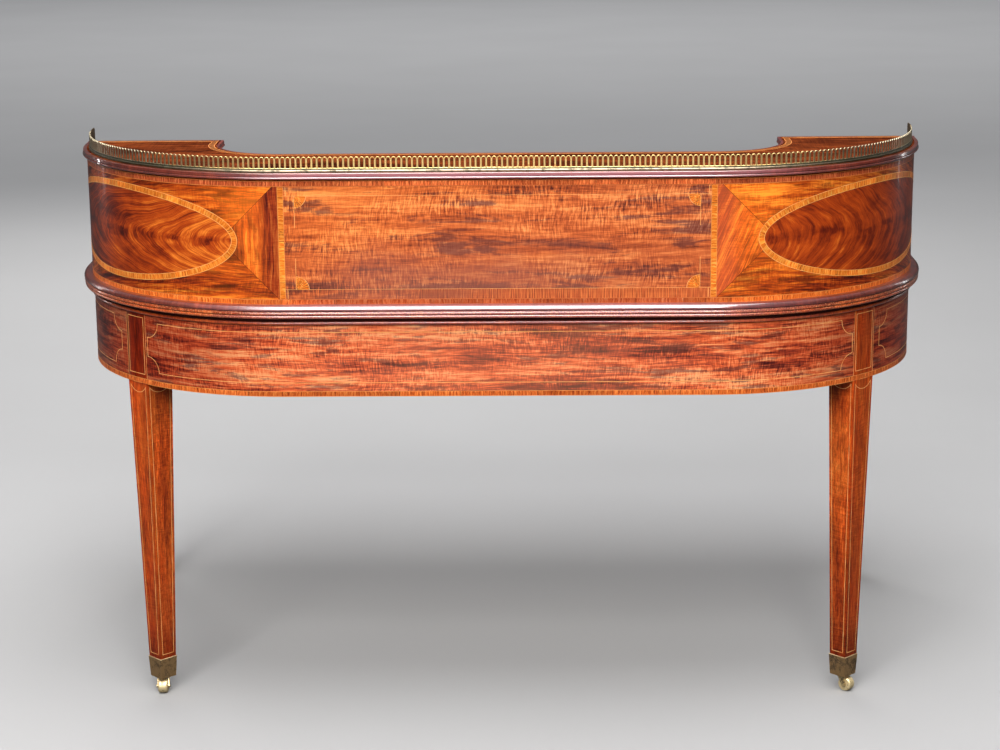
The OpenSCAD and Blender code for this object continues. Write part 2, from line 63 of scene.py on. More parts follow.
S_FRONT = S_LEG + BLOCK


# ------------------------------------------------------------------
# shader networks
# ------------------------------------------------------------------
def srgb(r, g, b):
    def one(c):
        c /= 255.0
        return c / 12.92 if c <= 0.04045 else ((c + 0.055) / 1.055) ** 2.4
    return (one(r), one(g), one(b), 1.0)


class Net:
    def __init__(self, name):
        self.mat = bpy.data.materials.new(name)
        self.mat.use_nodes = True
        self.t = self.mat.node_tree
        self.t.nodes.clear()
        self.out = self.t.nodes.new("ShaderNodeOutputMaterial")
        self.bsdf = self.t.nodes.new("ShaderNodeBsdfPrincipled")
        self.t.links.new(self.bsdf.outputs[0], self.out.inputs[0])
        self._obj = None

    def put(self, sock, v):
        if isinstance(v, bpy.types.NodeSocket):
            self.t.links.new(v, sock)
        else:
            sock.default_value = v

    def set(self, **kw):
        for k, v in kw.items():
            self.put(self.bsdf.inputs[k.replace("_", " ")], v)
        return self

    def math(self, op, a, b=0.0, c=0.0, clamp=False):
        n = self.t.nodes.new("ShaderNodeMath")
        n.operation = op
        n.use_clamp = clamp
        self.put(n.inputs[0], a)
        self.put(n.inputs[1], b)
        self.put(n.inputs[2], c)
        return n.outputs[0]

    def add(self, a, b):
        return self.math("ADD", a, b)

    def sub(self, a, b):
        return self.math("SUBTRACT", a, b)

    def mul(self, a, b):
        return self.math("MULTIPLY", a, b)

    def mad(self, a, b, c):
        return self.math("MULTIPLY_ADD", a, b, c)

    def vec(self, x, y, z=0.0):
        n = self.t.nodes.new("ShaderNodeCombineXYZ")
        self.put(n.inputs[0], x)
        self.put(n.inputs[1], y)
        self.put(n.inputs[2], z)
        return n.outputs[0]

    def split(self, v):
        n = self.t.nodes.new("ShaderNodeSeparateXYZ")
        self.put(n.inputs[0], v)
        return n.outputs[0], n.outputs[1], n.outputs[2]

    def coords(self):
        if self._obj is None:
            n = self.t.nodes.new("ShaderNodeTexCoord")
            self._obj = self.split(n.outputs["Object"])
        return self._obj

    def uv(self):
        n = self.t.nodes.new("ShaderNodeTexCoord")
        return self.split(n.outputs["UV"])

    def noise(self, v, detail=2.0, rough=0.5, dist=0.0, scale=1.0):
        n = self.t.nodes.new("ShaderNodeTexNoise")
        self.put(n.inputs["Vector"], v)
        n.inputs["Scale"].default_value = scale
        n.inputs["Detail"].default_value = detail
        n.inputs["Roughness"].default_value = rough
        n.inputs["Distortion"].default_value = dist
        return n.outputs[0]

    def white(self, v):
        n = self.t.nodes.new("ShaderNodeTexWhiteNoise")
        n.noise_dimensions = "3D"
        self.put(n.inputs["Vector"], v)
        return n.outputs["Value"]

    def ramp(self, fac, stops, interp="LINEAR"):
        n = self.t.nodes.new("ShaderNodeValToRGB")
        n.color_ramp.interpolation = interp
        e = n.color_ramp.elements
        while len(e) > 1:
            e.remove(e[-1])
        e[0].position, e[0].color = stops[0][0], stops[0][1]
        for p, c in stops[1:]:
            k = e.new(p)
            k.color = c
        self.put(n.inputs[0], fac)
        return n.outputs[0]

    def mix(self, fac, a, b, mode="MIX"):
        n = self.t.nodes.new("ShaderNodeMix")
        n.data_type = "RGBA"
        n.blend_type = mode
        n.clamp_factor = True
        self.put(n.inputs["Factor"], fac)
        self.put(n.inputs[6], a)
        self.put(n.inputs[7], b)
        return n.outputs[2]

    def map(self, v, a, b, c=0.0, d=1.0, smooth=False):
        n = self.t.nodes.new("ShaderNodeMapRange")
        n.interpolation_type = "SMOOTHSTEP" if smooth else "LINEAR"
        n.clamp = True
        self.put(n.inputs[0], v)
        for i, k in enumerate((a, b, c, d)):
            self.put(n.inputs[i + 1], k)
        return n.outputs[0]

    def scale(self, col, k):
        """colour times a number, given as a socket or a value"""
        n = self.t.nodes.new("ShaderNodeVectorMath")
        n.operation = "SCALE"
        self.put(n.inputs[0], col)
        self.put(n.inputs["Scale"], k)
        return n.outputs[0]

    def bump(self, height, strength=0.3, distance=0.0005):
        n = self.t.nodes.new("ShaderNodeBump")
        n.inputs["Strength"].default_value = strength
        n.inputs["Distance"].default_value = distance
        self.put(n.inputs["Height"], height)
        self.put(self.bsdf.inputs["Normal"], n.outputs[0])


# grain directions: each returns (along the grain, across, depth)
def g_x(n):
    x, y, z = n.coords()
    return x, z, y


def g_y(n):
    x, y, z = n.coords()
    return y, z, x


def g_z(n):
    x, y, z = n.coords()
    return z, n.add(x, n.mul(y, 0.7)), n.sub(y, n.mul(x, 0.7))


def g_uv(n):
    u, v, w = n.uv()
    return u, v, 0.37


def g_uv_cross(n):
    u, v, w = n.uv()
    return v, u, 0.71


def arc_s(n, radius=0.379):
    """signed distance along the desk's outline from the middle of the back"""
    x, y, z = n.coords()
    ax = n.math("ABSOLUTE", x)
    dx = n.math("MAXIMUM", n.sub(ax, CX), 0.0)
    dy = n.sub(y, CY)
    th = n.math("ARCTAN2", dx, n.math("MAXIMUM", dy, 0.00001))
    s = n.add(n.math("MINIMUM", ax, CX), n.mul(th, radius))
    s = n.add(s, n.math("MAXIMUM", n.mul(dy, -1.0), 0.0))
    return s, n.math("SIGN", x), z


def g_arc(n):
    s, sg, z = arc_s(n)
    return n.mul(s, sg), z, 0.53


PAL = {
    # dark, brown, body, light
    "centre": (srgb(92, 40, 30), srgb(168, 76, 40), srgb(214, 106, 54), srgb(255, 160, 92)),
    "frieze": (srgb(66, 22, 22), srgb(160, 58, 36), srgb(234, 102, 54), srgb(255, 176, 116)),
    "flame": (srgb(54, 14, 10), srgb(112, 34, 14), srgb(188, 72, 20), srgb(252, 142, 48)),
    "quart": (srgb(50, 14, 12), srgb(122, 38, 16), srgb(198, 78, 20), srgb(255, 148, 48)),
    "plain": (srgb(58, 20, 10), srgb(112, 44, 18), srgb(156, 68, 28), srgb(200, 100, 46)),
    "roof": (srgb(36, 14, 8), srgb(74, 30, 14), srgb(108, 48, 22), srgb(148, 74, 36)),
    "leg": (srgb(70, 20, 10), srgb(146, 52, 16), srgb(206, 84, 24), srgb(252, 134, 50)),
    "dark": (srgb(44, 14, 12), srgb(86, 32, 24), srgb(124, 52, 38), srgb(176, 88, 62)),
    "lining": (srgb(112, 78, 42), srgb(150, 108, 62), srgb(178, 134, 82), srgb(200, 158, 104)),
}


def wood_colour(n, g, pal, seed=0.0, ripple=0.25, patch=0.6, streak=1.0, fine=1.0, wave=1.0, tint=(0.36, 0.38, 0.60, 1), pscale=1.0):
    """French-polished veneer: broad patches, streaks along the grain, cross ripple and pores"""
    al, ac, dp = g
    dark, brown, body, light = PAL[pal]
    warp = n.noise(n.vec(n.mad(al, 3.4, seed), n.mul(ac, 8.0), n.mul(dp, 5.0)), 2.0, 0.5)
    ac2 = n.mad(n.sub(warp, 0.5), 0.016 * wave, ac)
    wide = n.noise(n.vec(n.mad(al, 3.6, seed * 1.7), n.mul(ac2, 30.0), n.mul(dp, 16.0)), 3.0, 0.55, 0.3)
    mid = n.noise(n.vec(n.mad(al, 12.0, seed * 2.3), n.mul(ac2, 170.0), n.mul(dp, 60.0)), 4.0, 0.62, 0.2)
    thin = n.noise(n.vec(n.mad(al, 36.0, seed), n.mul(ac2, 620.0), n.mul(dp, 300.0)), 3.0, 0.62)
    v = n.mad(n.sub(wide, 0.5), 0.72 * streak, 0.53)
    v = n.mad(n.sub(mid, 0.5), 0.74 * streak, v)
    v = n.mad(n.sub(thin, 0.5), 0.55 * fine, v)
    lean = n.mad(n.sub(warp, 0.5), 14.0, n.mul(ac, 14.0))
    rip = n.noise(n.vec(n.mad(al, 400.0, lean), n.mul(ac, 58.0), n.mul(dp, 9.0)), 3.0, 0.62, 0.1)
    rmask = n.map(n.noise(n.vec(n.mad(al, 9.0, 3.1 + seed), n.mul(ac, 22.0), n.mul(dp, 5.0)), 2.0), 0.36, 0.60, 0.2, 1.0)
    rp = n.mul(n.sub(rip, 0.5), rmask)
    v = n.mad(rp, 1.45 * ripple, v)
    col = n.ramp(v, [(0.16, dark), (0.37, brown), (0.56, body), (0.84, light)])
    if patch:
        p = n.noise(n.vec(n.mad(al, 13.0 * pscale, 11.3 + seed), n.mul(ac2, 78.0 * pscale), n.mul(dp, 20.0)), 4.0, 0.66, 0.4)
        q = n.noise(n.vec(n.mad(al, 2.0, 5.3 + seed), n.mul(ac2, 9.0), n.mul(dp, 20.0)), 1.0)
        p = n.mad(n.sub(q, 0.5), 0.16, p)
        p = n.mad(rp, -0.34 * min(1.0, ripple * 2.0), p)
        pm = n.map(p, 0.500, 0.620, 0.0, patch, True)
        col = n.mix(pm, col, n.mix(0.22, n.mix(1.0, col, tint, "MULTIPLY"), dark))
    # pores: short fine dashes along the grain
    pore = n.noise(n.vec(n.mad(al, 130.0, seed), n.mul(ac2, 2600.0), n.mul(dp, 1500.0)), 1.0, 0.5)
    pm = n.map(pore, 0.60, 0.68, 0.0, 0.35 * fine)
    col = n.mix(pm, col, n.scale(col, 0.38))
    return col, v, pore


def polish(n, height=None, rough=0.34, coat=0.06, vary=0.08, coat_rough=0.08, spec=0.12, coat_ior=1.5):
    x, y, z = n.coords()
    sm = n.noise(n.vec(n.mul(x, 9.0), n.mul(y, 9.0), n.mul(z, 13.0)), 3.0, 0.6)
    n.set(Roughness=n.mad(n.sub(sm, 0.5), vary * 2.0, rough))
    n.bsdf.inputs["Coat Weight"].default_value = coat
    n.bsdf.inputs["Coat Roughness"].default_value = coat_rough
    n.bsdf.inputs["Coat IOR"].default_value = coat_ior
    n.bsdf.inputs["Specular IOR Level"].default_value = spec
    und = n.noise(n.vec(n.mul(x, 38.0), n.mul(y, 38.0), n.mul(z, 38.0)), 2.0, 0.5)
    if height is not None:
        und = n.mad(height, -0.22, und)
    n.bump(und, 0.10, 0.0012)


def wood(name, pal, g=g_x, gain=1.0, rough=0.34, coat=0.06, spec=0.12, **kw):
    n = Net(name)
    col, v, pore = wood_colour(n, g(n), pal, **kw)
    if gain != 1.0:
        col = n.scale(col, gain)
    n.set(Base_Color=col)
    polish(n, pore, rough, coat, spec=spec)
    return n.mat


def roof_wood():
    """the case's top board, with a painted shadow close behind the gallery"""
    n = Net("roof_veneer")
    col, v, pore = wood_colour(n, g_x(n), "roof", seed=2.6, ripple=0.3, patch=0.6, streak=1.3)
    col = n.scale(col, 0.85)
    x, y, z = n.coords()
    # painted shadow of the gallery: a darker band on the board just behind it, strongest in the middle
    wob = n.noise(n.vec(n.mul(x, 18.0), n.mul(y, 30.0), 3.0), 3.0)
    at = n.mad(n.sub(wob, 0.5), 0.03, y)
    gallery_shadow = n.mul(n.map(at, 0.325, 0.365, 0.0, 0.85, True), n.map(n.math("ABSOLUTE", x), 0.34, 0.50, 1.0, 0.15, True))
    col = n.mix(gallery_shadow, col, n.mix(1.0, col, (0.42, 0.38, 0.36, 1), "MULTIPLY"))
    n.set(Base_Color=col)
    polish(n, pore, 0.5, 0.05, spec=0.0)
    return n.mat


def lining(name, g=g_x, gain=1.0, seed=0.0):
    n = Net(name)
    col, v, pore = wood_colour(n, g(n), "lining", seed=seed, ripple=0.0, patch=0.0, streak=0.8, fine=1.3)
    n.set(Base_Color=n.scale(col, gain))
    x, y, z = n.coords()
    n.set(Roughness=0.62)
    n.bsdf.inputs["Specular IOR Level"].default_value = 0.35
    n.bump(pore, 0.22, 0.0004)
    return n.mat


def case_veneer():
    """the case's outside: crotch figure in the ovals, mitred quarters round them, fiddleback in the middle"""
    n = Net("case_veneer")
    s, sg, z = arc_s(n, 0.380)
    ss = n.mul(s, sg)
    # middle panel
    centre, v0, p0 = wood_colour(n, (ss, z, 0.53), "centre", seed=0.4, ripple=0.9, patch=0.95, streak=1.1, wave=1.0, tint=(0.39, 0.45, 0.98, 1), pscale=0.60)
    cloud = n.noise(n.vec(n.mul(ss, 5.0), n.mul(z, 14.0), 6.0), 3.0, 0.6)
    place = n.mad(n.sub(cloud, 0.5), 0.55, n.add(ss, n.mul(n.sub(z, 0.835), 2.6)))
    centre = n.mix(n.map(place, 0.02, 0.46, 0.0, 0.55, True), centre, n.mix(1.0, centre, (1.12, 1.06, 0.62, 1), "MULTIPLY"))
    centre = n.mix(n.map(place, 0.05, -0.40, 0.0, 0.30, True), centre, n.mix(1.0, centre, (0.70, 0.66, 0.80, 1), "MULTIPLY"))
    # a paler greyish-purple haze over the lower part of the middle panel, stronger towards x>0
    grey_haze = n.noise(n.vec(n.mul(ss, 6.0), n.mul(z, 22.0), 13.0), 3.0, 0.6)
    grey_haze = n.mad(n.sub(grey_haze, 0.5), 0.6, n.mul(n.sub(0.845, z), 6.0))
    centre = n.mix(n.mul(n.mul(n.map(grey_haze, 0.0, 0.40, 0.0, 0.72, True), n.map(ss, -0.26, 0.0, 0.30, 1.0, True)), n.map(s, 0.20, 0.33, 1.0, 0.2, True)), centre, n.mix(0.45, srgb(168, 104, 88), n.scale(centre, 0.72)))
    tick = n.noise(n.vec(n.mul(ss, 520.0), n.mul(z, 16.0), 3.0), 3.0, 0.62)
    tick = n.ramp(tick, [(0.36, srgb(112, 46, 26)), (0.50, srgb(196, 92, 48)), (0.66, srgb(246, 146, 76))])
    where = n.mul(n.map(z, 0.7541, 0.7544, 1.0, 0.0, True), n.map(n.mad(n.sub(cloud, 0.5), 0.5, ss), 0.26, -0.06, 0.12, 0.78, True))
    centre = n.mix(where, centre, tick)
    # horizontal quarters above and below the ovals
    quart, v1, p1 = wood_colour(n, (ss, n.add(z, n.mul(n.mul(n.sub(s, 0.45), n.sub(s, 0.45)), 0.35)), 0.2), "quart", seed=5.2, ripple=0.28, patch=0.75, streak=1.5, fine=1.5, wave=2.4)
    # painted highlight: bright orange patches on the quarters near the middle panel and higher up; painted shade: the
    # quarters darker towards the curved ends
    near = n.map(s, 0.40, 0.56, 1.0, 0.0, True)
    highlight_patch = n.noise(n.vec(n.mul(ss, 13.0), n.mul(z, 26.0), 4.0), 3.0, 0.6, 0.3)
    near = n.mul(near, n.map(n.add(z, n.mul(sg, -0.01)), 0.765, 0.85, 0.30, 1.0, True))
    quart = n.mix(n.mul(near, n.map(highlight_patch, 0.36, 0.60, 0.15, 0.88)), quart, n.mix(0.5, srgb(250, 134, 34), n.scale(quart, 2.2)))
    quart = n.mix(n.map(s, 0.50, 0.66, 0.0, 0.45, True), quart, n.mix(1.0, quart, (0.55, 0.50, 0.66, 1), "MULTIPLY"))
    # vertical-grain quarters next to the upright bands
    upr, v2, p2 = wood_colour(n, (z, n.mad(n.mul(z, n.map(sg, -1.0, 1.0, 1.0, 0.0)), 0.45, ss), 0.2), "quart", seed=9.1, ripple=0.30, patch=0.6, streak=1.5, fine=1.5, wave=2.0)
    lat = n.mad(n.sub(n.noise(n.vec(n.mul(ss, 30.0), n.mul(z, 9.0), 1.0), 3.0), 0.5), 0.03, s)
    toward = n.map(lat, 0.372, 0.415, 0.0, 1.0, True)
    upr = n.mix(n.mul(n.sub(1.0, toward), n.map(sg, -1.0, 1.0, 0.0, 0.85)), upr, n.mix(1.0, upr, (0.52, 0.40, 0.90, 1), "MULTIPLY"))
    upr = n.mix(n.mul(n.sub(1.0, toward), n.map(sg, -1.0, 1.0, 0.75, 0.0)), upr, n.mix(0.30, srgb(214, 100, 56), n.scale(upr, 1.75)))
    # painted highlight: bright orange patches on the upright quarters beside the bands
    upr = n.mix(n.mul(toward, n.map(highlight_patch, 0.36, 0.60, 0.22, 0.85)), upr, n.mix(0.5, srgb(250, 126, 38), n.scale(upr, 2.1)))
    # crotch figure
    u = n.sub(s, 0.692)
    w = n.mul(n.sub(z, 0.835), n.mad(sg, 0.04, 1.0))
    lump = n.noise(n.vec(n.mul(ss, 7.0), n.mul(z, 12.0), 2.2), 2.0, 0.5)
    lump2 = n.noise(n.vec(n.mul(ss, 30.0), n.mul(z, 60.0), 7.2), 3.0, 0.6)
    wv = n.mad(n.sub(lump, 0.5), 0.045, w)
    wa = n.math("ABSOLUTE", wv)
    phi = n.add(n.mul(n.mul(wv, wv), n.mad(sg, 9.0, 23.0)), u)
    phi = n.mad(wa, 0.16, phi)
    phi = n.mad(n.sub(lump, 0.5), 0.040, phi)
    phi = n.mad(n.sub(lump2, 0.5), 0.012, phi)
    f1 = n.noise(n.vec(n.mul(phi, 40.0), n.mul(wv, 5.0), n.mul(sg, 4.0)), 3.0, 0.6, 0.05)
    f2 = n.noise(n.vec(n.mul(phi, 190.0), n.mul(wv, 13.0), n.mul(sg, 9.0)), 4.0, 0.68, 0.08)
    f3 = n.noise(n.vec(n.mul(phi, 620.0), n.mul(wv, 70.0), 3.0), 3.0, 0.66)
    blot = n.noise(n.vec(n.mul(ss, 16.0), n.mul(z, 34.0), 9.0), 3.0, 0.62, 0.4)
    f4 = n.noise(n.vec(n.mul(phi, 92.0), n.mul(wv, 26.0), n.mul(sg, 6.0)), 2.0, 0.5, 0.1)
    fv = n.mad(n.sub(f1, 0.5), 0.80, 0.45)
    fv = n.mad(n.sub(f2, 0.5), n.mad(sg, 0.10, 0.70), fv)
    fv = n.mad(n.sub(f4, 0.5), n.mad(sg, -0.12, 0.50), fv)
    fv = n.mad(n.sub(f3, 0.5), 0.62, fv)
    fv = n.mad(n.sub(blot, 0.5), 0.62, fv)
    fv = n.add(fv, n.map(u, -0.25, 0.12, n.mad(sg, 0.11, 0.13), -0.12))
    spine = n.map(n.mad(n.sub(lump2, 0.5), 0.030, wa), 0.0, 0.010, 0.24, 0.0, True)
    spine = n.mul(spine, n.map(n.noise(n.vec(n.mul(ss, 30.0), 3.0, 5.0), 3.0), 0.40, 0.60, 0.0, 1.0))
    fv = n.sub(fv, spine)
    fv = n.mad(n.sub(fv, 0.47), n.mad(sg, 0.14, 0.78), n.mad(sg, -0.02, 0.50))
    dark, brown, body, light = PAL["flame"]
    flame = n.ramp(fv, [(0.12, dark), (0.36, brown), (0.58, body), (0.86, light)])
    # where each lies
    ex = n.math("DIVIDE", n.sub(s, 0.692), 0.257)
    ez = n.math("DIVIDE", n.sub(z, 0.835), 0.0775)
    r2 = n.add(n.mul(ex, ex), n.mul(ez, ez))
    rim = n.map(r2, 0.55, 1.0, 0.0, 0.35, True)
    flame = n.mix(n.mul(rim, n.map(s, 0.60, 0.80, 0.2, 1.0)), flame, n.mix(1.0, flame, (0.50, 0.42, 0.60, 1), "MULTIPLY"))
    m_oval = n.map(r2, 0.995, 1.005, 1.0, 0.0)
    edge = n.math("MINIMUM", n.sub(0.9345, z), n.sub(z, 0.7375))
    d_in = n.sub(edge, n.sub(s, 0.3605))
    d_out = n.sub(edge, n.sub(0.9635, s))
    dm = n.math("MAXIMUM", d_in, d_out)
    m_upr = n.map(dm, -0.0001, 0.0001, 0.0, 1.0)
    col = n.mix(m_upr, quart, upr)
    joint = n.map(n.math("ABSOLUTE", dm), 0.0003, 0.0008, 0.75, 0.0)
    col = n.mix(joint, col, srgb(40, 16, 12))
    col = n.mix(m_oval, col, flame)
    m_mid = n.map(s, 0.3550, 0.3551, 1.0, 0.0)
    col = n.mix(m_mid, col, centre)
    # painted shade: the case darker towards its curved ends, as they turn away from the light, less on the x<0 side
    ends = n.map(s, 0.70, 0.95, 0.0, 0.62, True)
    ends = n.mul(ends, n.map(sg, -1.0, 1.0, 0.34, 1.0))
    col = n.mix(ends, col, n.mix(1.0, col, (0.42, 0.34, 0.36, 1), "MULTIPLY"))
    # painted shade beside the mouldings: darker just under the top moulding and just above the lower one
    moulding_shade = n.math("MINIMUM", n.map(z, 0.9385, 0.932, 0.55, 0.0, True), 1.0)
    moulding_shade_low = n.map(z, 0.7290, 0.7335, 0.55, 0.0, True)
    col = n.mix(n.math("MAXIMUM", moulding_shade, moulding_shade_low), col, srgb(48, 18, 14))
    n.set(Base_Color=col)
    polish(n, p0)
    return n.mat


def frieze_veneer():
    n = Net("frieze_veneer")
    s, sg, z = arc_s(n, 0.378)
    ss = n.mul(s, sg)
    col, v, p = wood_colour(n, (ss, z, 0.9), "frieze", seed=2.7, ripple=0.60, patch=0.85, streak=1.6, fine=1.35, wave=1.2, tint=(0.32, 0.38, 0.72, 1), pscale=0.95)
    pale = n.noise(n.vec(n.mul(ss, 7.0), n.mul(z, 30.0), 3.0), 3.0, 0.6)
    col = n.mix(n.map(n.mad(n.sub(pale, 0.5), 0.6, s), 0.12, 0.46, 0.13, 0.0, True), col, srgb(255, 176, 136))
    # painted shade: the frieze darker towards its curved ends, more on the x>0 side, easing off past them along the
    # straight sides
    cloud = n.noise(n.vec(n.mul(ss, 16.0), n.mul(z, 18.0), 6.0), 3.0, 0.6)
    place = n.mad(n.sub(cloud, 0.5), 0.22, n.mul(ss, n.map(sg, -1.0, 1.0, -0.86, 1.0)))
    past = n.map(s, 0.98, 1.14, 1.0, 0.30, True)
    col = n.mix(n.mul(past, n.map(place, 0.34, 0.62, 0.0, 0.80, True)), col, n.mix(1.0, col, (0.44, 0.26, 0.28, 1), "MULTIPLY"))
    col = n.mix(n.mul(past, n.map(n.mul(ss, n.map(sg, -1.0, 1.0, -0.80, 1.0)), 0.66, 0.86, 0.0, 0.72, True)), col, n.mix(1.0, col, (0.42, 0.50, 0.62, 1), "MULTIPLY"))
    # painted shade just under the bed moulding
    moulding_shade = n.map(z, 0.696, 0.688, 0.6, 0.0, True)
    col = n.mix(moulding_shade, col, srgb(44, 16, 12))
    n.set(Base_Color=col)
    polish(n, p)
    return n.mat


def moulding_wood(name, pal="dark", cross=0.5, coat=1.0, coat_ior=1.65, fleck=0.0, seed=0.0, painted_sheen=0.0):
    """cross-grained moulding in short pieces; u runs along it, v down its section, in metres"""
    n = Net(name)
    u, v, w0 = n.uv()
    c1, a, p = wood_colour(n, (n.mul(v, 1.0), u, 0.3), pal, seed=1.3 + seed, ripple=0.15, patch=0.5, streak=1.1)
    c2, a2, p2 = wood_colour(n, (u, v, 0.8), pal, seed=4.3 + seed, ripple=0.5, patch=0.6, streak=1.0)
    col = n.mix(cross, c1, c2)
    t = n.math("DIVIDE", u, 0.061)
    t = n.mad(n.sub(n.noise(n.vec(n.mul(u, 9.0), 2.0, seed), 1.0), 0.5), 0.8, t)
    tone = n.white(n.vec(n.math("FLOOR", t), 3.0, 1.0 + seed))
    col = n.mix(n.map(tone, 0.0, 1.0, 0.0, 0.75), col, n.mix(1.0, col, (0.55, 0.36, 0.38, 1), "MULTIPLY"))
    warm = n.noise(n.vec(n.mul(u, 7.0), n.mul(v, 60.0), 4.0), 2.0)
    col = n.mix(n.map(warm, 0.45, 0.68, 0.0, 0.45), col, n.mix(1.0, col, (1.5, 1.1, 0.9, 1), "MULTIPLY"))
    # painted reflection: a pale mauve sheen towards the middle of each moulding, fading towards the ends
    if painted_sheen:
        x, y, z0 = n.coords()
        sheen_wobble = n.noise(n.vec(n.mul(u, 5.0), n.mul(v, 90.0), 8.0), 3.0, 0.6)
        at = n.mad(n.sub(sheen_wobble, 0.5), 0.5, n.math("ABSOLUTE", x))
        col = n.mix(n.map(at, 0.24, 0.56, painted_sheen, 0.0, True), col, srgb(186, 118, 126))
    if fleck:
        f = n.noise(n.vec(n.mad(u, 420.0, n.mul(v, 160.0)), n.mul(v, 330.0), seed), 3.0, 0.6)
        col = n.mix(n.map(f, 0.50, 0.62, 0.0, fleck), col, srgb(250, 168, 112))
        col = n.mix(n.map(f, 0.42, 0.34, 0.0, fleck), col, srgb(96, 34, 16))
    n.set(Base_Color=col)
    polish(n, p, 0.30, coat, 0.05, 0.11, 0.3, coat_ior)
    dull = n.noise(n.vec(n.mul(u, 7.0), n.mul(v, 60.0), 2.0 + seed), 3.0, 0.6)
    n.set(Coat_Roughness=n.map(dull, 0.38, 0.64, 0.06, 0.27, True))
    # the front edge is rubbed duller by use
    x, y, z1 = n.coords()
    n.set(Coat_Weight=n.map(y, -0.10, 0.01, coat * 0.15, coat, True))
    n.set(Roughness=n.map(y, -0.10, 0.01, 0.46, 0.30, True))
    return n.mat


# dark matt colour for the quirks, coves and undersides of the mouldings: painted shade in the recesses
def recess_shade_mat():
    n = Net("moulding_recess_shade")
    x, y, z = n.coords()
    a = n.noise(n.vec(n.mul(x, 60.0), n.mul(y, 60.0), n.mul(z, 200.0)), 3.0, 0.6)
    n.set(Base_Color=n.ramp(a, [(0.3, srgb(38, 10, 6)), (0.7, srgb(66, 22, 14))]), Roughness=0.7)
    n.bsdf.inputs["Specular IOR Level"].default_value = 0.1
    return n.mat


SATIN = (srgb(112, 38, 12), srgb(208, 90, 24), srgb(248, 134, 40), srgb(255, 190, 92))
EDGE_SATIN = (srgb(96, 30, 12), srgb(178, 70, 24), srgb(228, 108, 38), srgb(255, 164, 80))
DIM_SATIN = (srgb(72, 22, 14), srgb(132, 50, 26), srgb(186, 80, 40), srgb(244, 138, 82))
RUDDY = (srgb(70, 22, 12), srgb(150, 58, 22), srgb(214, 98, 38), srgb(255, 156, 78))


def satinwood(name, seed=0.0, seg_len=0.071, gain=1.0, pal=SATIN, mid=None):
    """crossbanding: grain runs across the strip; u along it in metres, v across 0..1"""
    n = Net(name)
    u, v, w0 = n.uv()
    wob = n.noise(n.vec(n.mul(u, 22.0), n.mul(v, 1.2), seed), 2.0)
    uu = n.mad(n.sub(wob, 0.5), 0.003, u)
    a = n.noise(n.vec(n.mad(uu, 330.0, seed), n.mul(v, 0.30), 1.0), 3.0, 0.6)
    b = n.noise(n.vec(n.mad(uu, 1100.0, seed), n.mul(v, 0.7), 2.0), 2.0, 0.6)
    f = n.mad(n.sub(b, 0.5), 0.6, n.mad(n.sub(a, 0.5), 1.15, 0.53))
    col = n.ramp(f, [(0.14, pal[0]), (0.34, pal[1]), (0.52, pal[2]), (0.80, pal[3])])
    sl = n.noise(n.vec(n.mad(uu, 210.0, seed * 3.0), n.mul(v, 0.14), 5.0), 2.0, 0.7)
    sl = n.map(n.math("ABSOLUTE", n.sub(sl, 0.5)), 0.0, 0.026, 0.78, 0.0)
    gate = n.map(n.noise(n.vec(n.mul(uu, 40.0), 3.0, seed), 1.0), 0.50, 0.60, 0.0, 1.0)
    col = n.mix(n.mul(sl, gate), col, pal[0])
    t = n.math("DIVIDE", u, seg_len)
    t = n.mad(n.sub(n.noise(n.vec(n.mul(u, 6.0), 9.0, seed), 1.0), 0.5), 0.5, t)
    k = n.white(n.vec(n.math("FLOOR", t), seed, 1.0))
    col = n.scale(col, n.mad(k, 0.44, 0.76))
    fr = n.math("FRACT", t)
    jn = n.math("MINIMUM", fr, n.sub(1.0, fr))
    col = n.mix(n.map(jn, 0.003, 0.009, 0.7, 0.0), col, srgb(90, 36, 18))
    if gain != 1.0:
        col = n.scale(col, gain)
    if mid:
        x, y, z = n.coords()
        at = n.mad(n.sub(n.noise(n.vec(n.mul(x, 9.0), 1.0, seed), 2.0), 0.5), 0.2, n.math("ABSOLUTE", x))
        col = n.mix(n.map(at, 0.28, 0.42, 1.0, 0.0, True), col, n.mix(1.0, col, mid, "MULTIPLY"))
    n.set(Base_Color=col)
    polish(n, b)
    return n.mat


def boxwood(name="boxwood", cols=((206, 118, 54), (250, 172, 98), (255, 212, 150)), mid=None):
    n = Net(name)
    u, v, w0 = n.uv()
    a = n.noise(n.vec(n.mul(u, 60.0), n.mul(v, 2.0), 1.0), 3.0, 0.6)
    col = n.ramp(a, [(0.3, srgb(*cols[0])), (0.5, srgb(*cols[1])), (0.72, srgb(*cols[2]))])
    worn = n.noise(n.vec(n.mul(u, 14.0), 2.0, 7.0), 2.0)
    col = n.mix(n.map(worn, 0.56, 0.7, 0.0, 0.5), col, srgb(176, 92, 44))
    if mid:
        x, y, z = n.coords()
        col = n.mix(n.map(n.math("ABSOLUTE", x), 0.30, 0.40, 1.0, 0.0, True), col, n.mix(1.0, col, mid, "MULTIPLY"))
    n.set(Base_Color=col)
    polish(n, a)
    return n.mat


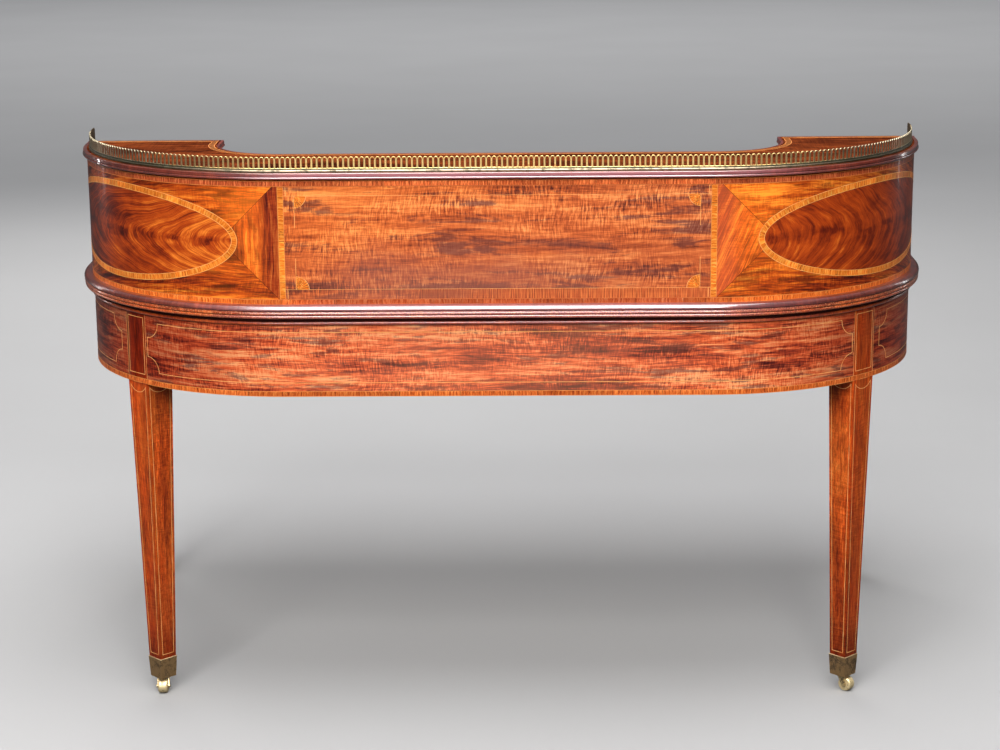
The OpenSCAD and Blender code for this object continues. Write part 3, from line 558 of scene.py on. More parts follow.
def brass(name, base, dark, amount=0.5, rough=0.28, scale=1.0, rim_highlight=None, ends=None, metal=1.0):
    n = Net(name)
    x, y, z = n.coords()
    v = n.vec(n.mul(x, 55.0 * scale), n.mul(y, 55.0 * scale), n.mul(z, 55.0 * scale))
    a = n.noise(v, 5.0, 0.65, 0.4)
    b = n.noise(n.vec(n.mul(x, 380.0), n.mul(y, 380.0), n.mul(z, 380.0)), 3.0, 0.6)
    m = n.map(n.mad(n.sub(b, 0.5), 0.35, a), 0.62 - 0.3 * amount, 0.80 - 0.22 * amount, 0.0, 1.0, True)
    col = n.mix(m, base, dark)
    # painted highlight: a bright ring at one height, used for the top rim of the castor caps
    if rim_highlight:
        zz, ring_width, ring_colour = rim_highlight
        col = n.mix(n.map(n.math("ABSOLUTE", n.sub(z, zz)), ring_width * 0.3, ring_width, 0.85, 0.0, True), col, ring_colour)
    if ends:
        far = n.map(n.mad(n.sub(a, 0.5), 0.30, n.math("ABSOLUTE", x)), 0.36, 0.64, 0.0, 0.95, True)
        col = n.mix(far, col, ends)
    n.set(Base_Color=col, Metallic=n.map(m, 0.0, 1.0, metal, 0.72 * metal), Roughness=n.map(m, 0.0, 1.0, rough, rough + 0.26))
    n.bump(n.mad(b, 0.5, a), 0.16, 0.0004)
    return n.mat


def leather_mat():
    n = Net("tooled_leather")
    x, y, z = n.coords()
    ax = n.math("ABSOLUTE", x)
    cell = n.t.nodes.new("ShaderNodeTexVoronoi")
    cell.feature = "DISTANCE_TO_EDGE"
    cell.inputs["Scale"].default_value = 900.0
    n.put(cell.inputs["Vector"], n.vec(x, y, 0.0))
    big = n.noise(n.vec(n.mul(x, 4.0), n.mul(y, 5.0), 1.0), 4.0, 0.6)
    fade = n.noise(n.vec(n.mul(x, 22.0), n.mul(y, 22.0), 3.0), 3.0, 0.6)
    col = n.ramp(n.mad(n.sub(fade, 0.5), 0.4, big), [(0.3, srgb(16, 40, 26)), (0.52, srgb(28, 60, 38)), (0.75, srgb(52, 84, 54))])
    n.set(Base_Color=col, Roughness=n.map(big, 0.3, 0.7, 0.50, 0.62))
    n.bsdf.inputs["Specular IOR Level"].default_value = 0.0
    n.bsdf.inputs["Coat Weight"].default_value = 0.10
    n.bsdf.inputs["Coat Roughness"].default_value = 0.42
    n.bump(n.math("MINIMUM", n.mul(cell.outputs[0], 18.0), 1.0), 0.35, 0.0004)
    return n.mat


def floor_mat():
    """pale sweep: shown pale, but throwing little light up on to the desk"""
    n = Net("studio_floor")
    x, y, z = n.coords()
    a = n.noise(n.vec(n.mul(x, 1.2), n.mul(y, 1.2), 0.0), 3.0, 0.5)
    base = n.ramp(a, [(0.3, (0.41, 0.408, 0.41, 1)), (0.7, (0.425, 0.423, 0.425, 1))])
    base = n.scale(base, n.map(n.math("ABSOLUTE", y), 2.0, 15.0, 1.0, 1.3))
    lp = n.t.nodes.new("ShaderNodeLightPath")
    n.set(Base_Color=n.mix(lp.outputs["Is Camera Ray"], (0.13, 0.13, 0.13, 1), base), Roughness=0.75)
    n.bsdf.inputs["Specular IOR Level"].default_value = 0.0
    return n.mat


def leg_wood():
    """speckled straight grain, darker down by the cap"""
    n = Net("leg_veneer")
    col, v, pore = wood_colour(n, g_z(n), "leg", seed=3.0, ripple=0.30, patch=0.25, streak=0.62, fine=1.5)
    x, y, z = n.coords()
    sp = n.noise(n.vec(n.mul(x, 260.0), n.mul(y, 260.0), n.mul(z, 110.0)), 3.0, 0.65)
    inner = n.map(n.math("ABSOLUTE", x), 0.596, 0.604, 1.0, 0.0, True)
    col = n.mix(n.mul(n.map(sp, 0.46, 0.60, 0.0, 0.55, True), n.mad(inner, 0.7, 0.3)), col, n.mix(1.0, col, (0.52, 0.50, 0.62, 1), "MULTIPLY"))
    col = n.mix(n.mul(inner, 0.8), col, n.mix(1.0, col, (1.22, 1.42, 1.75, 1), "MULTIPLY"))
    sm = n.noise(n.vec(n.mul(x, 30.0), n.mul(y, 30.0), n.mul(z, 7.0)), 2.0)
    col = n.mix(n.map(sm, 0.40, 0.66, 0.0, 0.55, True), col, n.mix(1.0, col, (1.35, 0.92, 0.72, 1), "MULTIPLY"))
    low = n.noise(n.vec(n.mul(x, 20.0), n.mul(y, 20.0), n.mul(z, 22.0)), 2.0)
    col = n.mix(n.map(n.mad(n.sub(low, 0.5), 0.06, z), 0.055, 0.150, 0.78, 0.0, True), col, n.mix(1.0, col, (0.34, 0.22, 0.28, 1), "MULTIPLY"))
    col = n.mix(n.map(n.mad(n.sub(low, 0.5), 0.2, z), 0.08, 0.44, 0.72, 0.0, True), col, n.mix(1.0, col, (0.55, 0.44, 0.66, 1), "MULTIPLY"))
    block = n.map(x, -0.3, 0.3, 0.30, 0.95, True)
    col = n.mix(n.mul(block, n.map(z, 0.566, 0.574, 0.0, 1.0, True)), col, n.mix(1.0, col, (0.36, 0.18, 0.28, 1), "MULTIPLY"))
    shade = n.map(z, 0.46, 0.568, 0.0, 0.55, True)
    col = n.mix(n.mul(shade, n.mul(inner, n.map(z, 0.5719, 0.572, 1.0, 0.0, True))), col, n.mix(1.0, col, (0.30, 0.24, 0.26, 1), "MULTIPLY"))
    n.set(Base_Color=col)
    polish(n, pore)
    return n.mat


M = {
    "case": case_veneer(),
    "frieze": frieze_veneer(),
    "leg": leg_wood(),
    "top": wood("top_veneer", "plain", g_x, 0.8, 0.5, 0.04, 0.0, seed=1.0, ripple=0.3, patch=0.5, streak=1.2),
    "roof": roof_wood(),
    "front": wood("front_veneer", "frieze", g_x, 0.92, seed=12.0, ripple=0.45, patch=0.6, streak=1.2),
    "door": wood("door_veneer", "flame", g_z, 1.0, seed=15.0, ripple=0.3, patch=0.4, streak=1.2),
    "plain_x": wood("mahogany_long", "plain", g_x, seed=6.0, ripple=0.2, patch=0.3),
    "plain_y": wood("mahogany_deep", "plain", g_y, seed=7.0, ripple=0.2, patch=0.3),
    "plain_z": wood("mahogany_upright", "plain", g_z, seed=4.5, ripple=0.2, patch=0.3),
    "inside_x": lining("lining_long", g_x, 0.62, 2.0),
    "inside_y": lining("lining_deep", g_y, 0.9, 3.0),
    "inside_z": lining("lining_upright", g_z, 0.75, 4.0),
    "drawer_x": lining("drawer_lining_long", g_x, 1.0, 6.0),
    "drawer_y": lining("drawer_lining_deep", g_y, 1.05, 5.0),
    "satin": satinwood("satinwood_band", 1.0),
    "satin_edge": satinwood("satinwood_edge", 2.0, 0.083, 1.0, EDGE_SATIN, (0.60, 0.56, 1.10, 1)),
    "satin_dim": satinwood("satinwood_dim", 6.0, 0.077, 1.0, DIM_SATIN, (1.35, 1.45, 1.25, 1)),
    "satin_oval": satinwood("satinwood_oval", 5.0, 0.026),
    "satin_front": satinwood("satinwood_front", 9.0, 0.09, 0.92),
    "satin_top": satinwood("satinwood_top", 11.0, 0.10, 0.31),
    "knob": brass("knob_brass", srgb(226, 184, 108), srgb(140, 102, 56), 0.4, 0.22, 2.0),
    "drawer_base": lining("drawer_lining_base", g_x, 0.9, 9.0),
    "drawer_end": lining("drawer_lining_end", g_z, 0.62, 12.0),
    "box": boxwood(),
    "line_oval": boxwood("boxwood_oval", ((214, 120, 52), (255, 172, 92), (255, 206, 136))),
    "line": boxwood("boxwood_line", ((196, 100, 42), (232, 142, 70), (250, 180, 108))),
    "line_edge": boxwood("boxwood_edge", ((190, 96, 40), (226, 132, 66), (246, 168, 98)), (0.74, 0.60, 0.66, 1)),
    "brass": brass("brass", srgb(240, 194, 112), srgb(164, 118, 60), 0.40, 0.34, 1.0, None, None, 0.62),
    "gallery": brass("gallery_brass", srgb(255, 224, 150), srgb(178, 134, 74), 0.42, 0.36, 1.6, None, srgb(134, 126, 108)),
    # a darker copy of the gallery brass for its plain ends: painted shade
    "gallery_end_shaded": brass("gallery_end_shaded_brass", srgb(120, 98, 66), srgb(52, 44, 34), 0.8, 0.36, 1.0),
    "gallery_base": brass("gallery_base_brass", srgb(158, 142, 120), srgb(92, 84, 66), 0.6, 0.40, 1.4, None, srgb(84, 80, 62)),
    "gallery_strip": brass("gallery_strip_brass", srgb(96, 86, 62), srgb(54, 52, 38), 0.7, 0.5, 1.4, None, srgb(64, 62, 48)),
    # the bright ring at the cap's top rim is a painted highlight
    "cap": brass("cap_brass", srgb(170, 136, 92), srgb(86, 68, 48), 0.66, 0.42, 0.8, (0.0668, 0.0016, srgb(236, 206, 156)), None, 0.75),
    "wheel": brass("wheel_brass", srgb(236, 214, 164), srgb(164, 142, 100), 0.35, 0.52, 2.4, None, None, 0.55),
    "fork": brass("fork_brass", srgb(206, 182, 134), srgb(96, 80, 56), 0.6, 0.44, 2.0, None, None, 0.8),
    "leather": leather_mat(),
    "floor": floor_mat(),
    "gilt": brass("gilt_tooling", srgb(236, 190, 96), srgb(150, 112, 48), 0.4, 0.35, 2.0),
    # the last number of each moulding is the strength of its painted mauve sheen
    "edge": moulding_wood("edge_moulding_wood", "dark", 0.45, 1.0, 1.75, 0.0, 0.0, 0.35),
    "gold": moulding_wood("lower_moulding_wood", "leg", 0.35, 0.8, 1.6, 0.55, 3.0, 0.55),
    "bed": moulding_wood("bed_moulding_wood", "leg", 0.4, 0.8, 1.55, 0.0, 5.0, 0.3),
    "nose": moulding_wood("top_moulding_wood", "dark", 0.5, 1.0, 1.75, 0.0, 7.0, 0.75),
    "nose_inner": moulding_wood("bay_moulding_wood", "dark", 0.5, 0.15, 1.5, 0.0, 9.0, 0.3),
    "moulding_shade": recess_shade_mat(),
    "satin_low": satinwood("satinwood_low", 3.0, 0.12, 1.0, RUDDY),
}


# ------------------------------------------------------------------
# mesh building
# ------------------------------------------------------------------
class Build:
    """collects vertices, faces and UVs, then makes one object that rides on a body"""

    def __init__(self):
        self.v, self.f, self.uv, self.mi = [], [], [], []

    def ring(self, pts):
        i = len(self.v)
        self.v.extend([tuple(p) for p in pts])
        return list(range(i, i + len(pts)))

    def face(self, idx, uvs, mi=0):
        self.f.append(tuple(idx))
        self.uv.append(list(uvs))
        self.mi.append(mi)

    def tube(self, rings, us, vs, closed=False, caps=True, mi=0, ring_closed=True):
        """rings of equal length; us one value per ring, vs one per point (plus one to close)"""
        ids = [self.ring(r) for r in rings]
        m = len(rings[0])
        n = len(rings)
        steps = n if closed else n - 1
        for i in range(steps):
            a, b = ids[i], ids[(i + 1) % n]
            ua, ub = us[i], us[i + 1]
            for j in range(m if ring_closed else m - 1):
                k = (j + 1) % m
                self.face((a[j], b[j], b[k], a[k]), ((ua, vs[j]), (ub, vs[j]), (ub, vs[j + 1]), (ua, vs[j + 1])), mi[j] if isinstance(mi, list) else mi)
        if caps and not closed:
            for row, u in ((ids[0], us[0]), (ids[-1], us[-1])):
                self.face(row, [(u, vs[j]) for j in range(m)], mi[0] if isinstance(mi, list) else mi)

    def box(self, lo, hi, mi=0):
        x0, y0, z0 = lo
        x1, y1, z1 = hi
        p = self.ring([(x0, y0, z0), (x1, y0, z0), (x1, y1, z0), (x0, y1, z0), (x0, y0, z1), (x1, y0, z1), (x1, y1, z1), (x0, y1, z1)])
        for q in ((0, 3, 2, 1), (4, 5, 6, 7), (0, 1, 5, 4), (2, 3, 7, 6), (1, 2, 6, 5), (3, 0, 4, 7)):
            self.face([p[i] for i in q], [(0, 0), (1, 0), (1, 1), (0, 1)], mi)

    def make(self, name, mats, body, slot=None, replaces=(), sharp=32.0, weld=False, bevel=None):
        me = bpy.data.meshes.new(name)
        me.from_pydata(self.v, [], self.f)
        uvl = me.uv_layers.new(name="UVMap")
        k = 0
        for fi, uvs in enumerate(self.uv):
            for c in uvs:
                uvl.data[k].uv = c
                k += 1
        if not isinstance(mats, (list, tuple)):
            mats = [mats]
        for m in mats:
            me.materials.append(m)
        for p, m in zip(me.polygons, self.mi):
            p.material_index = m
        bm = bmesh.new()
        bm.from_mesh(me)
        if weld:
            bmesh.ops.remove_doubles(bm, verts=bm.verts, dist=0.000002)
        bmesh.ops.recalc_face_normals(bm, faces=bm.faces)
        bm.to_mesh(me)
        bm.free()
        me.shade_smooth()
        me.set_sharp_from_angle(angle=math.radians(sharp))
        ob = bpy.data.objects.new(name, me)
        scene.collection.objects.link(ob)
        if bevel:
            b = ob.modifiers.new("edge_rounding", "BEVEL")
            b.width = bevel
            b.segments = 2
            b.limit_method = "ANGLE"
            b.angle_limit = math.radians(40)
            b.harden_normals = True
        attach(ob, body)
        if replaces:
            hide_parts(*replaces)
        return ob


def cumulative(pts, closed=False):
    out = [0.0]
    m = len(pts)
    for i in range(1, m + (1 if closed else 0)):
        out.append(out[-1] + (Vector(pts[i % m]) - Vector(pts[i - 1])).length)
    return out


def arc2(cx, cy, r, a0, a1, n):
    return [(cx + r * math.cos(math.radians(a0 + (a1 - a0) * i / n)), cy + r * math.sin(math.radians(a0 + (a1 - a0) * i / n))) for i in range(n + 1)]


def sweep(b, path, profile, closed=False, mi=0):
    """path: list of ((x, y), (nx, ny)) with mitre-scaled outward normals; profile: closed list of (u, z)"""
    rings = [[(p[0] + u * m[0], p[1] + u * m[1], z) for u, z in profile] for p, m in path]
    us = cumulative([(p[0], p[1]) for p, m in path], closed)
    vs = cumulative(profile, True)
    b.tube(rings, us, vs, closed, True, mi)


def outline_path(r, hw, front=None, n=56):
    """right front corner up the right side, round the back, down the left side"""
    out = []
    if front is not None:
        out.append(((hw, front), (1.0, 0.0)))
    for i in range(n + 1):
        a = pi / 2 * i / n
        out.append(((CX + r * math.cos(a), CY + r * math.sin(a)), (math.cos(a), math.sin(a))))
    for i in range(n + 1):
        a = pi / 2 + pi / 2 * i / n
        out.append(((-CX + r * math.cos(a), CY + r * math.sin(a)), (math.cos(a), math.sin(a))))
    if front is not None:
        out.append(((-hw, front), (-1.0, 0.0)))
    return out


def on_outline(r):
    def at(s, z, o=0.0):
        a = abs(s)
        sg = 1.0 if s >= 0 else -1.0
        end = CX + r * pi / 2
        if a <= CX:
            x, y = a, CY + r + o
        elif a <= end:
            t = (a - CX) / r
            x, y = CX + (r + o) * math.sin(t), CY + (r + o) * math.cos(t)
        else:
            x, y = CX + r + o, CY - (a - end)
        return (sg * x, y, z)
    return at


on_case = on_outline(R)
on_frieze = on_outline(Rf)


def on_plane(origin, right, up, normal):
    origin, right, up, normal = map(Vector, (origin, right, up, normal))

    def at(a, b, o=0.0):
        return tuple(origin + right * a + up * b + normal * o)
    return at


def refine(pts, step, closed=False):
    out = []
    m = len(pts)
    for i in range(m if closed else m - 1):
        p, q = Vector(pts[i]), Vector(pts[(i + 1) % m])
        k = max(1, int(math.ceil((q - p).length / step)))
        for j in range(k):
            out.append(tuple(p.lerp(q, j / k)))
    if not closed:
        out.append(tuple(pts[-1]))
    return out


def offset_line(pts, d, closed=False):
    """points moved sideways by d, mitred"""
    m = len(pts)
    out = []
    for i in range(m):
        if closed or 0 < i < m - 1:
            p0, p1, p2 = Vector(pts[i - 1]), Vector(pts[i]), Vector(pts[(i + 1) % m])
            a, b = (p1 - p0).normalized(), (p2 - p1).normalized()
        elif i == 0:
            a = b = (Vector(pts[1]) - Vector(pts[0])).normalized()
        else:
            a = b = (Vector(pts[-1]) - Vector(pts[-2])).normalized()
        na, nb = Vector((-a.y, a.x)), Vector((-b.y, b.x))
        k = 1.0 + na.dot(nb)
        n = (na + nb) / max(k, 0.25)
        out.append(tuple(Vector(pts[i]) + n * d))
    return out


def strip(b, at, pts, width, closed=False, top=0.00016, deep=-0.0004, step=0.006, mi=0, u0=0.0):
    """a thin inlaid strip along a line on a surface"""
    pts = refine(pts, step, closed)
    lo, hi = offset_line(pts, -width / 2, closed), offset_line(pts, width / 2, closed)
    rings = [[at(p[0], p[1], deep), at(p[0], p[1], top), at(q[0], q[1], top), at(q[0], q[1], deep)] for p, q in zip(lo, hi)]
    us = [u0 + u for u in cumulative(pts, closed)]
    b.tube(rings, us, [0.0, 0.0, 1.0, 1.0, 1.0], closed, True, mi)


def rect(a0, a1, b0, b1):
    return [(a0, b0), (a1, b0), (a1, b1), (a0, b1)]


def hollow_corners(a0, a1, b0, b1, r, n=10):
    """rectangle whose corners are concave quarter rounds"""
    out = []
    out += arc2(a0, b0, r, 90, 0, n)
    out += arc2(a1, b0, r, 180, 90, n)
    out += arc2(a1, b1, r, 270, 180, n)
    out += arc2(a0, b1, r, 360, 270, n)
    return out


# ------------------------------------------------------------------
# mouldings
# ------------------------------------------------------------------
def mm(pts):
    return [(u / 1000.0, z / 1000.0) for u, z in pts]


def edge_profile():
    """shoulder, fillet, half-round, and a larger cross-grained roll below; with a material for each part"""
    z = 729.5
    parts = [([(0, z)] + arc2(9, z - 8.2, 8.2, 90, 2, 18), 0),
             ([(16.9, z - 8.9), (15.9, z - 9.2), (15.3, z - 9.9)], 1),
             ([(15.6, z - 10.2), (16.3, z - 10.5), (16.6, z - 11.0), (16.5, z - 11.6), (16.2, z - 12.0), (16.5, z - 12.6), (16.7, z - 13.6), (16.6, z - 14.6), (16.2, z - 15.3)], 2),
             ([(14.8, z - 15.6), (13.6, z - 15.9)], 1),
             ([(11.2 + 4.9 * math.cos(math.radians(a)), z - 19.2 + 3.4 * math.sin(math.radians(a))) for a in range(74, -76, -10)], 2),
             ([(11.0, z - 22.4), (0, z - 22.4)], 1)]
    return parts


def bed_profile():
    z = 707.0
    return [([(0, z), (11, z)] + arc2(11, z - 6.6, 6.6, 90, 172, 10), 1),
            (arc2(2.4, z - 9.6, 2.7, 78, -82, 12), 0),
            ([(1.6, z - 12.9), (0, z - 13.4)], 1)]


def nose_profile(p):
    """small round over a plain face, and a bead below"""
    z = 948.5
    return [([(0, z)] + arc2(p - 1.9, z - 0.8, 0.8, 90, 8, 6) + [(p - 1.05, z - 3.2), (p - 1.0, z - 5.2)], 0),
            ([(p - 1.5, z - 5.5), (p - 2.0, z - 6.0)], 1),
            (arc2(p - 2.0, z - 7.95, 2.0, 84, -80, 14), 0),
            ([(p - 3.0, z - 9.95), (0, z - 10)], 1)]


def profile(parts):
    """joined outline and one material number per segment"""
    pts, mats = [], []
    for seg, m in parts:
        pts += seg
        mats += [m] * len(seg)
    return mm(pts), mats


def table_loop():
    path = [((Wf, YF), (1.0, -1.0))] + outline_path(Rf, Wf)[0:] + [((-Wf, YF), (-1.0, -1.0))]
    return path


b = Build()
pts, mats = profile(edge_profile())
sweep(b, table_loop(), pts, closed=True, mi=mats)
b.make("desk_edge_moulding", [M["edge"], M["moulding_shade"], M["gold"]], "carcass", "mahogany_dark", ["edge_moulding"], sharp=40)
b = Build()
pts, mats = profile(bed_profile())
sweep(b, table_loop(), pts, closed=True, mi=mats)
b.make("desk_bed_moulding", [M["bed"], M["moulding_shade"]], "carcass", "mahogany_dark", ["frieze_moulding"], sharp=40)
b = Build()
pts, mats = profile(nose_profile(7.5))
sweep(b, outline_path(R, W, WING_Y), pts, mi=mats)
b.make("case_top_moulding", [M["nose"], M["moulding_shade"]], "carcass", "mahogany_dark", ["top_moulding"], sharp=40)


def inner_path(sg):
    out = [((sg * (W + 0.0075), WING_Y), (0.0, -1.0)), ((sg * BAY, WING_Y), (0.0, -1.0))]
    for i in range(1, 10):
        a = -pi / 2 - pi / 2 * i / 10
        out.append(((sg * BAY, WING_Y), (sg * math.cos(a), math.sin(a))))
    out.append(((sg * BAY, WING_Y), (-sg, 0.0)))
    for i in range(41):
        a = pi / 2 * i / 40
        out.append(((sg * (DCX + DOOR_R * math.cos(a)), DCY + DOOR_R * math.sin(a)), (-sg * math.cos(a), -math.sin(a))))
    return out


b = Build()
right = inner_path(1.0)
left = inner_path(-1.0)
path = right + left[::-1]
pts, mats = profile(nose_profile(6))
rings = [[(p[0] + u * m[0], p[1] + u * m[1], z) for u, z in pts] for p, m in path]
us = cumulative([(p[0] + 0.003 * m[0], p[1] + 0.003 * m[1]) for p, m in path])
b.tube(rings, us, cumulative(pts, True), mi=mats)
b.make("case_inner_moulding", [M["nose_inner"], M["moulding_shade"]], "carcass", "mahogany_dark", ["inner_moulding"], sharp=40)


# ------------------------------------------------------------------
# veneered outside of the case and the frieze, with true curves
# ------------------------------------------------------------------
def wall(name, at, s0, s1, z0, z1, t, mat, node, body="carcass", slot="mahogany"):
    b = Build()
    n = max(2, int(abs(s1 - s0) / 0.0085))
    rings, us = [], []
    for i in range(n + 1):
        s = s0 + (s1 - s0) * i / n
        rings.append([at(s, z0, 0), at(s, z1, 0), at(s, z1, -t), at(s, z0, -t)])
        us.append(s)
    b.tube(rings, us, [z0, z1, z1 + t, z0 - t, z0], mi=[0, 1, 1, 1])
    return b.make(name, [mat, M["plain_x"]], body, slot, [node] if node else ())


wall("case_back_veneer", on_case, -CX, CX, TOP_Z, LID_Z, PANEL_T, M["case"], "back_panel")
for sg, side in ((-1, "left"), (1, "right")):
    wall("case_end_veneer_" + side, on_case, sg * CX, sg * S_CASE_END, TOP_Z, LID_Z, PANEL_T, M["case"], "end_panel_" + side)
half = math.asin(BLOCK / 2 / Rf) * Rf
wall("frieze_back_veneer", on_frieze, -(S_BLOCK - half), S_BLOCK - half, FRIEZE_Z, RAIL_TOP, 0.022, M["frieze"], "back_rail")
for sg, side in ((-1, "left"), (1, "right")):
    wall("frieze_side_veneer_" + side, on_frieze, sg * (S_BLOCK + half), sg * S_LEG, FRIEZE_Z, RAIL_TOP, 0.022, M["frieze"], "side_rail_" + side)

# ------------------------------------------------------------------
# inlay on the case
# ------------------------------------------------------------------
bands, strings, ovals = Build(), Build(), Build()
band_lines, edge_lines, oval_lines = Build(), Build(), Build()
EDGE = 0.0009


def banded(at, pts, width, closed=False, to=None, u0=0.0, lines=None):
    """crossband with a pale string along each edge"""
    strip(to or bands, at, pts, width, closed, u0=u0)
    base = refine(pts, 0.006, closed)
    for d in (-1, 1):
        strip(lines or band_lines, at, offset_line(base, d * (width / 2 + EDGE / 2), closed), EDGE, closed, top=0.00020, step=0.02)


edge_bands = Build()
dim_bands = Build()
banded(on_case, [(-S_CASE_END + 0.001, 0.9307), (S_CASE_END - 0.001, 0.9307)], 0.0078, to=dim_bands, lines=edge_lines)
banded(on_case, [(-S_CASE_END + 0.001, 0.7334), (S_CASE_END - 0.001, 0.7334)], 0.0074, to=edge_bands, lines=edge_lines)
for sg in (-1, 1):
    banded(on_case, [(sg * 0.3555, 0.7386), (sg * 0.3555, 0.9252)], 0.0084, u0=0.3 + sg * 0.1)
    banded(on_case, [(sg * (S_CASE_END - 0.0052), 0.7386), (sg * (S_CASE_END - 0.0052), 0.9252)], 0.0084, u0=0.9)
    ell = [(sg * 0.692 + 0.257 * math.cos(2 * pi * i / 180), 0.835 + 0.0775 * math.sin(2 * pi * i / 180)) for i in range(180)]
    banded(on_case, ell, 0.0086, True, ovals, lines=oval_lines)
# thin lines and corner fans of the middle panel
IN_S, Z_LO, Z_HI = 0.333, 0.7545, 0.9105
for zz in (Z_LO, Z_HI):
    strip(strings, on_case, [(-0.3505, zz), (0.3505, zz)], 0.00055, top=0.0001)
for sg in (-1, 1):
    strip(strings, on_case, [(sg * IN_S, Z_LO), (sg * IN_S, Z_LO + 0.052)], 0.0009)
    strip(strings, on_case, [(sg * IN_S, Z_HI), (sg * IN_S, Z_HI - 0.052)], 0.0009)
    strip(strings, on_case, [(sg * 0.347, Z_LO), (sg * 0.347, 0.7388)], 0.0009)
    strip(strings, on_case, [(sg * 0.347, Z_HI), (sg * 0.347, 0.9250)], 0.0009)


def fan(b, edge, at, a, z, da, dz, r, blades=8):
    """quarter fan: tapering blades with a rounded tip, and a string round them"""
    for k in range(blades):
        t0, t1 = (k + 0.12) * pi / 2 / blades, (k + 0.88) * pi / 2 / blades
        r0, r1 = r * 0.12, r * 0.93
        loop = [(r0 * math.cos(t0), r0 * math.sin(t0)), (r0 * math.cos(t1), r0 * math.sin(t1))]
        tm = (t0 + t1) / 2
        outer = []
        for j in range(5):
            t = t1 + (t0 - t1) * j / 4
            bulge = 0.05 * r * math.cos((t - tm) / (t1 - t0) * pi)
            outer.append(((r1 + bulge) * math.cos(t), (r1 + bulge) * math.sin(t)))
        loop += outer
        top = [at(a + da * p[0], z + dz * p[1], 0.00018) for p in loop]
        low = [at(a + da * p[0], z + dz * p[1], -0.0004) for p in loop]
        it, il = b.ring(top), b.ring(low)
        uv = [(k * 0.011 + p[1], p[0] / r) for p in loop]
        b.face(it, uv)
        b.face(il[::-1], uv[::-1])
        m = len(loop)
        for j in range(m):
            q = (j + 1) % m
            b.face((it[j], il[j], il[q], it[q]), (uv[j], uv[j], uv[q], uv[q]))
    arcp = [(a + da * r * math.cos(pi / 2 * i / 16), z + dz * r * math.sin(pi / 2 * i / 16)) for i in range(17)]
    strip(edge, at, arcp, 0.0009)


fans = Build()
for sg in (-1, 1):
    fan(fans, strings, on_case, sg * IN_S, Z_LO, -sg, 1, 0.0215)
    fan(fans, strings, on_case, sg * IN_S, Z_HI, -sg, -1, 0.0195)

# ------------------------------------------------------------------
# inlay on the frieze and the leg blocks
# ------------------------------------------------------------------
low_band = Build()
banded(on_frieze, [(-S_FRONT + 0.0006, 0.5760), (S_FRONT - 0.0006, 0.5760)], 0.0074, to=low_band)
strip(strings, on_frieze, hollow_corners(-0.6205, 0.6205, 0.5950, 0.6812, 0.0265), 0.0011, True)
for sg in (-1, 1):
    lo, hi = sorted((sg * 0.6970, sg * 1.2640))
    strip(strings, on_frieze, hollow_corners(lo, hi, 0.5950, 0.6812, 0.0265), 0.0011, True)
    lo, hi = sorted((sg * 0.6305, sg * 0.6733))
    strip(strings, on_frieze, rect(lo, hi, 0.5880, 0.6872), 0.0011, True)
    lo, hi = sorted((sg * (S_LEG + 0.0055), sg * (S_FRONT - 0.0055)))
    strip(strings, on_frieze, rect(lo, hi, 0.5880, 0.6872), 0.0011, True)
    for s in (S_BLOCK - half, S_BLOCK + half, S_LEG):
        strip(strings, on_frieze, [(sg * s, 0.5806), (sg * s, 0.6925)], 0.0008, top=0.0001)

